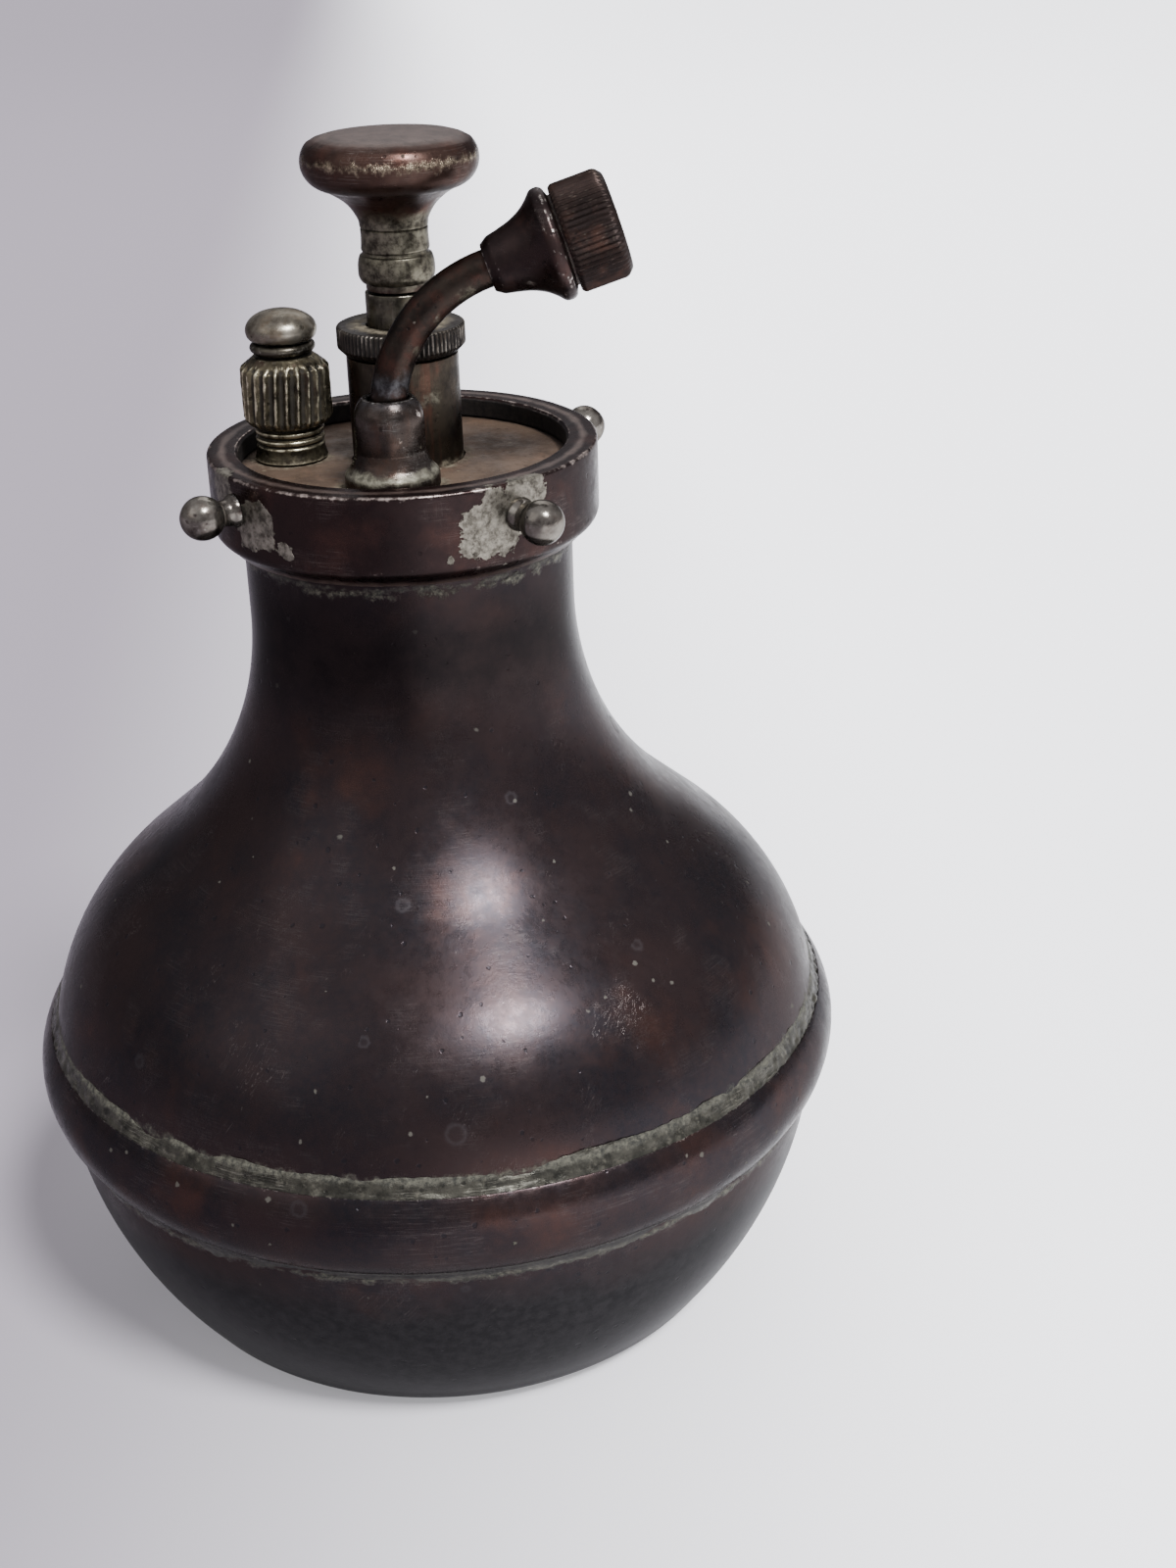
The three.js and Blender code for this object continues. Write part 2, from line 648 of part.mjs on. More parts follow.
function nozzle() {
  const bore = SPOUT.radius + GAP;
  const seat = SPOUT.socket - NOZZLE.back + 2 * GAP;
  const core = NOZZLE.spigot - 1.4;
  const flare = new THREE.QuadraticBezierCurve(
    new THREE.Vector2(NOZZLE.root, 0), new THREE.Vector2(NOZZLE.root + 0.5, NOZZLE.flare * 0.78),
    new THREE.Vector2(NOZZLE.radius - 0.1, NOZZLE.flare),
  ).getPoints(6).map((p) => [p.x, p.y]);
  onNozzle('nozzle_cone', turned([
    [bore, -NOZZLE.back + GAP],
    [bore + 0.4, -NOZZLE.back + GAP],
    ...flare,
    [NOZZLE.radius, NOZZLE.flare + 0.3],
    [NOZZLE.radius, coneEnd],
    [NOZZLE.spigot, coneEnd + 0.4],
    [NOZZLE.spigot, spigotEnd],
    [core, spigotEnd],
    [core, coneEnd],
    [SPOUT.radius - SPOUT.wall, coneEnd - 2.4],
    [SPOUT.radius - SPOUT.wall, seat],
    [bore, seat],
  ]), FINISH.bronzed);
  const slots = Array.from({ length: 3 }, (_, i) => (
    new THREE.BoxGeometry(1.2, core, 6).translate(core - 0.6, 0, spigotEnd - 1.5)
      .rotateZ((i * 2 * Math.PI) / 3)
  ));
  onNozzle('swirl_core', cut(rod(core - GAP, coneEnd + 0.6, spigotEnd), ...slots), FINISH.brass);
  const disc = tube(NOZZLE.spigot, 0.45, spigotEnd + GAP, spigotEnd + GAP + 0.6);
  onNozzle('spray_disc', disc, FINISH.brass);
}

function nozzleCap() {
  const blank = turned([
    [0, capStart],
    [CAP.radius - 0.3, capStart],
    [CAP.radius, capStart + 0.4],
    [CAP.radius, capEnd - 0.9],
    [CAP.radius - 0.9, capEnd],
    [0, capEnd],
  ], 2 * CAP.teeth);
  const head = common(blank, toothed(CAP.radius, CAP.teeth, CAP.depth, capStart, capEnd));
  const bore = rod(NOZZLE.spigot + GAP, capStart - 1, capEnd - CAP.face);
  const mouth = turned([
    [0, capEnd - CAP.face - 0.1], [1.4, capEnd - CAP.face - 0.1],
    [CAP.mouth, capEnd + 0.1], [0, capEnd + 0.1],
  ]);
  onNozzle('nozzle_cap', cut(head, bore, mouth), FINISH.bronzed);
}

function dipTube() {
  const low = DIP.clearance;
  part('dip_tube', tube(DIP.radius, DIP.radius - DIP.wall, low, pipeEnd - GAP, 16),
    FINISH.brass, outlet);
  const floor = low - 3.0;
  const { radius, height, wall } = STRAINER;
  part('dip_strainer', turned([
    [0, floor], [radius, floor], [radius, floor + height], [DIP.radius + GAP, floor + height],
    [DIP.radius + GAP, floor + height - wall], [radius - wall, floor + height - wall],
    [radius - wall, floor + wall], [0, floor + wall],
  ], 16), FINISH.brass, outlet);
}

lowerBowl();
upperShell();
bellyBand();
neckBush();
headPlate();
collar();
studs();
pumpBarrel();
glandCap();
plungerKnob();
plunger();
footValve();
reliefStub();
reliefNut();
reliefButton();
outletBoss();
spout();
nozzle();
nozzleCap();
dipTube();

export default object;
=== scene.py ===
import logging
import math
from dataclasses import dataclass, field
from enum import Enum
from typing import Any, Callable, Sequence

import bmesh
import bpy
from mathutils import Matrix, Vector, noise


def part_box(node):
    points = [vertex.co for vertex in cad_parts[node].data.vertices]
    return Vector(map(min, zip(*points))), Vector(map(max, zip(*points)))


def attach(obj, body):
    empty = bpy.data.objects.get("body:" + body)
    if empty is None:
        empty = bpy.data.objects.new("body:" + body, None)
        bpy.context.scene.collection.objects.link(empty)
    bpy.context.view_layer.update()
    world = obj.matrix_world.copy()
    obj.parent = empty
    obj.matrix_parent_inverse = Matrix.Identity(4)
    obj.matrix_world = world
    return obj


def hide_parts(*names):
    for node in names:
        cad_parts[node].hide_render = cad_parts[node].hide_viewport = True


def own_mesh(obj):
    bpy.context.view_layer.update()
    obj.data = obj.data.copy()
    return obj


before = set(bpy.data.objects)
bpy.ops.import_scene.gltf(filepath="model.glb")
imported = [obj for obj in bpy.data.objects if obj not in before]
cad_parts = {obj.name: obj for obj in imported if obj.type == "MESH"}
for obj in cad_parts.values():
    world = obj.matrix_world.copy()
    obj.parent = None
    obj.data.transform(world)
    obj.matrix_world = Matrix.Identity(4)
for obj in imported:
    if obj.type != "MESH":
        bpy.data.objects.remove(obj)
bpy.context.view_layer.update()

LOG = logging.getLogger("sprayer")
MM = 0.001
PER_METRE = (1000.0, 1000.0, 1000.0)
FULL_TURN = 2.0 * math.pi

Point = tuple[float, ...]
Colour = tuple[float, float, float]
Rule = Callable[[float, float, float], tuple[float, float]]


# ------------------------------------------------------------------ mesh building


class Turned:
    """A piece turned on the lathe: an outline in millimetres, spun about an upright axis."""

    def __init__(self, outline: Sequence[Point], steps: int = 96, reach: float = 1.0,
                 segments: int = 4) -> None:
        """Draws the outline, rounds its corners and spins it about +Z through the origin.

        Args:
            outline: Radius, height and, if the corner is rounded, the rounding's size.
            steps: Number of steps round the axis.
            reach: Longest edge left along the outline, in millimetres.
            segments: Number of segments in each rounding.
        """
        self.bm = bmesh.new()
        corners = [self.bm.verts.new((p[0] * MM, 0.0, p[1] * MM)) for p in outline]
        for first, second in zip(corners, corners[1:]):
            self.bm.edges.new((first, second))
        if outline[0][0] > 0.0 or outline[-1][0] > 0.0:
            self.bm.edges.new((corners[-1], corners[0]))
        self._round(corners, outline, segments)
        self._divide(reach)
        bmesh.ops.spin(
            self.bm, geom=self.bm.verts[:] + self.bm.edges[:], cent=(0, 0, 0), axis=(0, 0, 1),
            dvec=(0, 0, 0), angle=FULL_TURN, steps=steps, use_merge=True,
            use_normal_flip=False, use_duplicate=False,
        )
        bmesh.ops.remove_doubles(self.bm, verts=self.bm.verts[:], dist=0.002 * MM)
        bmesh.ops.recalc_face_normals(self.bm, faces=self.bm.faces[:])

    def _round(self, corners: list[Any], outline: Sequence[Point], segments: int) -> None:
        """Rounds the corners that ask for it, one size at a time."""
        for size in sorted({p[2] for p in outline if len(p) > 2}):
            chosen = [c for c, p in zip(corners, outline) if len(p) > 2 and p[2] == size]
            bmesh.ops.bevel(
                self.bm, geom=chosen, offset=size * MM, offset_type="OFFSET",
                segments=segments, profile=0.5, affect="VERTICES", clamp_overlap=True,
                material=-1,
            )

    def _divide(self, reach: float) -> None:
        """Divides the outline's long edges so that wear and wobble have points to act on."""
        groups: dict[int, list[Any]] = {}
        for edge in self.bm.edges:
            cuts = int(edge.calc_length() / (reach * MM))
            if cuts:
                groups.setdefault(cuts, []).append(edge)
        for cuts, edges in groups.items():
            bmesh.ops.subdivide_edges(self.bm, edges=edges, cuts=cuts)

    def shift(self, change: Rule) -> "Turned":
        """Moves each point by a rule on its radius, angle and height, all in millimetres.

        Args:
            change: Gives the new radius and height.

        Returns:
            The piece itself.
        """
        for vert in self.bm.verts:
            radius = math.hypot(vert.co.x, vert.co.y) / MM
            if radius < 1e-6:
                continue
            angle = math.atan2(vert.co.y, vert.co.x)
            new_radius, new_height = change(radius, angle, vert.co.z / MM)
            vert.co = Vector((
                new_radius * math.cos(angle) * MM, new_radius * math.sin(angle) * MM,
                new_height * MM,
            ))
        return self

    def wobble(self, amount: float, size: float, seed: float) -> "Turned":
        """Gives a hand-worked surface its slight unevenness.

        Args:
            amount: Largest move along the normal, in millimetres.
            size: Distance between neighbouring hollows, in millimetres.
            seed: Place in the noise.

        Returns:
            The piece itself.
        """
        self.bm.normal_update()
        moves = [
            (v, v.normal * amount * MM * noise.noise(v.co / (size * MM) + Vector((seed, 0, 0))))
            for v in self.bm.verts
        ]
        for vert, move in moves:
            vert.co += move
        return self

    def place(self, matrix: Matrix) -> "Turned":
        """Moves the whole piece to its place."""
        bmesh.ops.transform(self.bm, matrix=matrix, verts=self.bm.verts[:])
        return self

    def at(self, x: float, y: float) -> "Turned":
        """Stands the piece on the axis at that place in plan, in millimetres."""
        return self.place(Matrix.Translation((x * MM, y * MM, 0.0)))


def close_ends(bm: Any) -> None:
    """Closes the open ends of a drawn pipe or wire and points its faces outwards."""
    bmesh.ops.holes_fill(bm, edges=[e for e in bm.edges if e.is_boundary], sides=0)
    bmesh.ops.recalc_face_normals(bm, faces=bm.faces[:])


def smooth_step(value: float, low: float, high: float) -> float:
    """Returns 0 below low, 1 above high and a smooth rise between them."""
    t = min(1.0, max(0.0, (value - low) / (high - low)))
    return t * t * (3.0 - 2.0 * t)


def arc(cr: float, cz: float, radius: float, start: float, end: float, steps: int) -> list[Point]:
    """Points along an arc of an outline.

    Args:
        cr: Radius of the arc's centre from the axis.
        cz: Height of the arc's centre.
        radius: Radius of the arc.
        start: First angle in degrees.
        end: Last angle in degrees.
        steps: Number of steps.

    Returns:
        The points from start to end.
    """
    turns = [math.radians(start + (end - start) * i / steps) for i in range(steps + 1)]
    return [(cr + radius * math.cos(a), cz + radius * math.sin(a)) for a in turns]


def mark_wear(bm: Any) -> None:
    """Stores how far each point stands on an edge, as wear, and in a crease, as crevice."""
    wear = bm.verts.layers.float.new("wear")
    crevice = bm.verts.layers.float.new("crevice")
    full = 900.0
    bend: dict[Any, float] = {}
    for vert in bm.verts:
        area = sum(f.calc_area() for f in vert.link_faces) or 1e-12
        total = sum(
            e.calc_length() * e.calc_face_angle_signed(0.0)
            for e in vert.link_edges if len(e.link_faces) == 2
        )
        bend[vert] = max(-1.5, min(1.5, 0.75 * total / area / full))
    for _ in range(2):
        bend = {
            v: 0.5 * b + 0.5 * sum(bend[e.other_vert(v)] for e in v.link_edges)
            / max(1, len(v.link_edges))
            for v, b in bend.items()
        }
    for vert, value in bend.items():
        vert[wear] = max(0.0, min(1.0, value))
        vert[crevice] = max(0.0, min(1.0, -value))


# ------------------------------------------------------------------ shader writing


class Graph:
    """Writes nodes into a material's or a group's tree."""

    def __init__(self, tree: Any) -> None:
        """Starts on an empty tree."""
        self.tree = tree

    def add(self, kind: str, **settings: Any) -> Any:
        """Adds a node and sets its properties."""
        made = self.tree.nodes.new(kind)
        for key, value in settings.items():
            setattr(made, key, value)
        return made

    def feed(self, socket: Any, value: Any) -> None:
        """Links a socket, or sets its value."""
        if isinstance(value, bpy.types.NodeSocket):
            self.tree.links.new(value, socket)
        elif isinstance(value, tuple) and socket.type == "RGBA":
            socket.default_value = (*value[:3], 1.0)
        else:
            socket.default_value = value

    def math(self, operation: str, first: Any, second: Any = 0.0, clamp: bool = False) -> Any:
        """Returns the result of a sum on one or two values."""
        made = self.add("ShaderNodeMath", operation=operation, use_clamp=clamp)
        self.feed(made.inputs[0], first)
        self.feed(made.inputs[1], second)
        return made.outputs[0]

    def vector(self, operation: str, first: Any, second: Any = (0.0, 0.0, 0.0)) -> Any:
        """Returns the result of a sum on vectors, which is a value for LENGTH."""
        made = self.add("ShaderNodeVectorMath", operation=operation)
        self.feed(made.inputs[0], first)
        self.feed(made.inputs[1], second)
        return made.outputs[1 if operation == "LENGTH" else 0]

    def step(self, value: Any, low: Any, high: Any) -> Any:
        """Returns a smooth step from 0 at low to 1 at high."""
        made = self.add("ShaderNodeMapRange", interpolation_type="SMOOTHSTEP", clamp=True)
        self.feed(made.inputs["Value"], value)
        self.feed(made.inputs["From Min"], low)
        self.feed(made.inputs["From Max"], high)
        return made.outputs[0]

    def blend(self, factor: Any, first: Any, second: Any) -> Any:
        """Returns a mix of two colours."""
        made = self.add("ShaderNodeMix", data_type="RGBA")
        self.feed(made.inputs[0], factor)
        self.feed(made.inputs[6], first)
        self.feed(made.inputs[7], second)
        return made.outputs[2]

    def veil(self, mask: Any, strength: float, colour: Any, tone: Any) -> Any:
        """Returns the colour with a tone laid over it where the mask is, that strongly."""
        return self.blend(self.math("MULTIPLY", mask, strength), colour, tone)

    def value(self, factor: Any, first: Any, second: Any) -> Any:
        """Returns a mix of two numbers."""
        made = self.add("ShaderNodeMix", data_type="FLOAT")
        self.feed(made.inputs[0], factor)
        self.feed(made.inputs[2], first)
        self.feed(made.inputs[3], second)
        return made.outputs[0]

    def cloud(self, where: Any, scale: Any, detail: float = 4.0, rough: float = 0.6) -> Any:
        """Returns a noise value about 0.5."""
        made = self.add("ShaderNodeTexNoise")
        self.feed(made.inputs["Vector"], where)
        self.feed(made.inputs["Scale"], scale)
        made.inputs["Detail"].default_value = detail
        made.inputs["Roughness"].default_value = rough
        return made.outputs[0]

    def close(self, height: Any, colour: Any, **settings: Any) -> None:
        """Ends a material in a shader with that colour, those settings and a bump."""
        shader = self.add("ShaderNodeBsdfPrincipled")
        self.feed(shader.inputs["Base Color"], colour)
        for key, value in settings.items():
            self.feed(shader.inputs[key], value)
        bump = self.add("ShaderNodeBump")
        bump.inputs["Distance"].default_value = MM
        self.feed(bump.inputs["Height"], height)
        self.feed(shader.inputs["Normal"], bump.outputs[0])
        self.feed(self.add("ShaderNodeOutputMaterial").inputs[0], shader.outputs[0])

    def group(self, tree: Any, **values: Any) -> Any:
        """Places a node group with its own values and returns its first output."""
        made = self.add("ShaderNodeGroup", node_tree=tree)
        for key, value in values.items():
            self.feed(made.inputs[key], value)
        return made.outputs[0]


def new_material(name: str) -> tuple[Any, Graph, Any]:
    """Starts a material; returns it, its writer and the place on the piece."""
    material = bpy.data.materials.new(name)
    material.use_nodes = True
    material.node_tree.nodes.clear()
    g = Graph(material.node_tree)
    return material, g, g.add("ShaderNodeTexCoord").outputs["Object"]


def new_group(name: str, inputs: Sequence[tuple[str, str]]) -> tuple[Any, Graph, Any, Any]:
    """Starts a node group with one output named Mask.

    Args:
        name: Name of the group.
        inputs: Name and kind, Vector or Float, of each input.

    Returns:
        The tree, its writer, its input sockets and its output socket.
    """
    tree = bpy.data.node_groups.new(name, "ShaderNodeTree")
    for label, kind in inputs:
        tree.interface.new_socket(name=label, in_out="INPUT", socket_type=f"NodeSocket{kind}")
    tree.interface.new_socket(name="Mask", in_out="OUTPUT", socket_type="NodeSocketFloat")
    graph = Graph(tree)
    return (tree, graph, graph.add("NodeGroupInput").outputs,
            graph.add("NodeGroupOutput").inputs[0])


class Shape(Enum):
    """The shape of a zone on a finish."""

    BAND = "band"
    SPOT = "spot"
    RIM = "rim"


class Effects:
    """The masks that several finishes share, each a node group that is built once."""

    def __init__(self) -> None:
        """Builds the groups."""
        self.clouds = self._clouds()
        self.scratches = self._scratches()
        self.specks = self._specks()
        self.worn = self._attribute("worn_edges", "wear")
        self.crevice = self._attribute("creases", "crevice")
        self.zones = {shape: self._zone(shape) for shape in Shape}

    @staticmethod
    def _clouds() -> Any:
        """Soft-edged patches of noise."""
        tree, g, inp, out = new_group("patches", [
            ("Vector", "Vector"), ("Scale", "Float"), ("Low", "Float"), ("High", "Float"),
        ])
        fine = g.cloud(inp["Vector"], inp["Scale"], 7.0, 0.62)
        g.feed(out, g.step(fine, inp["Low"], inp["High"]))
        return tree

    @staticmethod
    def _scratches() -> Any:
        """Thin broken lines that run along the direction left least stretched."""
        tree, g, inp, out = new_group("scratches", [
            ("Vector", "Vector"), ("Stretch", "Vector"), ("Width", "Float"), ("Cover", "Float"),
        ])
        along = g.vector("MULTIPLY", inp["Vector"], inp["Stretch"])
        ridge = g.math("ABSOLUTE", g.math("SUBTRACT", g.cloud(along, 1.0, 2.0, 0.7), 0.5))
        line = g.math("SUBTRACT", 1.0, g.step(ridge, 0.0, inp["Width"]))
        here = g.step(g.cloud(inp["Vector"], 0.11, 3.0, 0.6), inp["Cover"],
                      g.math("ADD", inp["Cover"], 0.12))
        g.feed(out, g.math("MULTIPLY", line, here))
        return tree

    @staticmethod
    def _specks() -> Any:
        """Round specks in a share of the cells of a grid."""
        tree, g, inp, out = new_group("specks", [
            ("Vector", "Vector"), ("Scale", "Float"), ("Size", "Float"), ("Share", "Float"),
        ])
        cells = g.add("ShaderNodeTexVoronoi", feature="F1")
        wavy = g.add("ShaderNodeTexNoise")
        g.feed(wavy.inputs["Vector"], inp["Vector"])
        wavy.inputs["Scale"].default_value = 1.9
        bent = g.vector("ADD", inp["Vector"],
                        g.vector("MULTIPLY", wavy.outputs[1], (0.5, 0.5, 0.5)))
        g.feed(cells.inputs["Vector"], bent)
        g.feed(cells.inputs["Scale"], inp["Scale"])
        split = g.add("ShaderNodeSeparateColor")
        g.feed(split.inputs[0], cells.outputs["Color"])
        size = g.math("MULTIPLY", inp["Size"], g.math("ADD", split.outputs[1], 0.35))
        round_one = g.math("SUBTRACT", 1.0, g.step(
            cells.outputs["Distance"], g.math("MULTIPLY", size, 0.6), size))
        chosen = g.math("LESS_THAN", split.outputs[0], inp["Share"])
        g.feed(out, g.math("MULTIPLY", round_one, chosen))
        return tree

    @staticmethod
    def _attribute(name: str, source: str) -> Any:
        """A mesh attribute broken up by noise."""
        tree, g, inp, out = new_group(name, [
            ("Vector", "Vector"), ("Amount", "Float"), ("Scale", "Float"),
        ])
        stored = g.add("ShaderNodeAttribute", attribute_type="GEOMETRY", attribute_name=source)
        ragged = g.math("MULTIPLY", g.math("SUBTRACT", g.cloud(
            inp["Vector"], inp["Scale"], 5.0, 0.65), 0.5), 1.5)
        level = g.math("MULTIPLY", stored.outputs["Fac"], inp["Amount"])
        there = g.step(stored.outputs["Fac"], 0.02, 0.12)
        mask = g.step(g.math("ADD", level, ragged), 0.28, 0.62)
        g.feed(out, g.math("MULTIPLY", mask, there))
        return tree

    @staticmethod
    def _zone(shape: Shape) -> Any:
        """A mask within a distance of the centre, its outline broken by noise.

        A band measures the distance along the upright axis, a spot all round the centre, and a
        rim from a circle of the given size about the axis.
        """
        tree, g, inp, out = new_group(f"{shape.value}_zone", [
            ("Vector", "Vector"), ("Centre", "Vector"), ("Size", "Float"), ("Half", "Float"),
            ("Ragged", "Float"), ("Scale", "Float"), ("Soft", "Float"),
        ])
        off = g.vector("SUBTRACT", inp["Vector"], inp["Centre"])
        if shape is Shape.BAND:
            split = g.add("ShaderNodeSeparateXYZ")
            g.feed(split.inputs[0], off)
            away = g.math("ABSOLUTE", split.outputs[2])
        elif shape is Shape.SPOT:
            away = g.vector("LENGTH", off)
        else:
            level = g.vector("LENGTH", g.vector("MULTIPLY", off, (1.0, 1.0, 0.0)))
            away = g.math("ABSOLUTE", g.math("SUBTRACT", level, inp["Size"]))
        fine = g.cloud(inp["Vector"], inp["Scale"], 6.0, 0.68)
        shake = g.math("MULTIPLY", g.math("SUBTRACT", fine, 0.5), inp["Ragged"])
        inside = g.math("SUBTRACT", g.math("ADD", inp["Half"], shake), away)
        g.feed(out, g.step(inside, 0.0, inp["Soft"]))
        return tree


# ------------------------------------------------------------------ finishes


@dataclass(frozen=True)
class Deposit:
    """What lies on the metal inside a zone; some of these are painted shade and painted highlights
    laid over the metal.
    """

    dark: Colour
    light: Colour
    grain: float
    roughness: float
    metallic: float
    height: float
    relief: float


SOLDER = Deposit((0.009, 0.0085, 0.007), (0.122, 0.116, 0.088), 1.3, 0.5, 0.45, 0.03, 0.2)
VERDIGRIS = Deposit((0.011, 0.011, 0.009), (0.085, 0.082, 0.062), 1.5, 0.75, 0.15, 0.02, 0.1)
PLATING = Deposit((0.04, 0.035, 0.028), (0.2, 0.184, 0.152), 0.9, 0.38, 0.8, 0.05, 0.06)
MOTTLE = Deposit((0.02, 0.0165, 0.0125), (0.135, 0.124, 0.092), 0.75, 0.36, 0.85, 0.0, 0.04)
TARNISH = Deposit((0.037, 0.025, 0.0208), (0.074, 0.051, 0.043), 0.5, 0.46, 0.5, 0.0, 0.02)
PITTED = Deposit((0.02, 0.0125, 0.009), (0.3, 0.245, 0.175), 1.3, 0.2, 0.95, 0.0, 0.14)
DUST = Deposit((0.042, 0.034, 0.023), (0.15, 0.128, 0.09), 0.9, 0.95, 0.0, 0.02, 0.05)
# Near-white bare metal, laid on the fronts of the boss and nozzle as worn spots and as painted
# highlights.
BARE_METAL_AND_GLINT = Deposit((0.12, 0.085, 0.065), (0.62, 0.57, 0.52), 1.1, 0.3, 0.95, -0.01, 0.015)
STEEL_BLUE = Deposit((0.016, 0.015, 0.0158), (0.062, 0.06, 0.062), 0.8, 0.32, 0.85, 0.0, 0.04)
# Painted shade, laid over the vessel's throat and neck.
SHADE = Deposit((0.0062, 0.0046, 0.0049), (0.0115, 0.0078, 0.0077), 0.12, 0.27, 0.85, 0.0, 0.0)
# Neutral grey-black for the lower bowl: partly the bowl's own colour, partly painted shade where
# it faces the floor.
BOWL_GREY_AND_SHADE = Deposit((0.0082, 0.0076, 0.0084), (0.0168, 0.0155, 0.0165), 0.6, 0.36, 0.8, 0.0, 0.01)
CHALK = Deposit((0.05, 0.046, 0.034), (0.2, 0.19, 0.145), 0.9, 0.5, 0.5, 0.01, 0.05)
# Painted shade: near-black laid in bores, under overhangs and between parts.
PAINTED_SHADE = Deposit((0.005, 0.004, 0.004), (0.016, 0.013, 0.011), 1.0, 0.7, 0.2, 0.0, 0.01)


@dataclass(frozen=True)
class Zone:
    """A place on a finish where something lies on the metal, or where shade or a highlight is
    painted; lengths in millimetres.
    """

    shape: Shape
    deposit: Deposit
    centre: Point
    half: float
    size: float = 0.0
    ragged: float = 1.5
    scale: float = 0.5
    soft: float = 0.3


def band(deposit: Deposit, height: float, half: float, *edge: float) -> Zone:
    """A level band; the edge is its raggedness, the noise's scale and its softness."""
    return Zone(Shape.BAND, deposit, (0.0, 0.0, height), half, 0.0, *edge)


def spot(deposit: Deposit, centre: Point, half: float, *edge: float) -> Zone:
    """A patch about a point, with an edge as a band has."""
    return Zone(Shape.SPOT, deposit, centre, half, 0.0, *edge)


def rim(deposit: Deposit, axis: Point, size: float, half: float, *edge: float) -> Zone:
    """A ring of that size about an upright axis, with an edge as a band has."""
    return Zone(Shape.RIM, deposit, (*axis, 0.0), half, size, *edge)


@dataclass(frozen=True)
class Patina:
    """A patinated metal: its tones, wear, marks, the colour in its creases and the zones that lie
    on it. The crease colour is dust on some finishes and painted shade on others, and some zones
    are painted shade and painted highlights.

    The pair rough is the lowest and highest roughness; lines is how strongly level, upright
    and slanted scratches show.
    """

    name: str
    dark: Colour
    mid: Colour
    warm: Colour
    bright: Colour
    # Colour of specks and of creases; where it is darker than the metal, it is painted shade in
    # the creases.
    grime_and_crease_shade: Colour
    patch: float = 0.15
    warm_low: float = 0.5
    rough: Point = (0.3, 0.5)
    metallic: float = 0.8
    wear: float = 0.3
    wear_scale: float = 1.2
    crease_dirt_and_shade: float = 1.0
    speck: float = 0.14
    pit: float = 0.3
    lines: Point = (0.3, 0.3, 0.0)
    streak: float = 0.0
    grain: float = 0.007
    stain: float = 0.0
    gloss_grain: float = 0.5
    edge_gloss: float = 0.45
    zones: tuple[Zone, ...] = ()


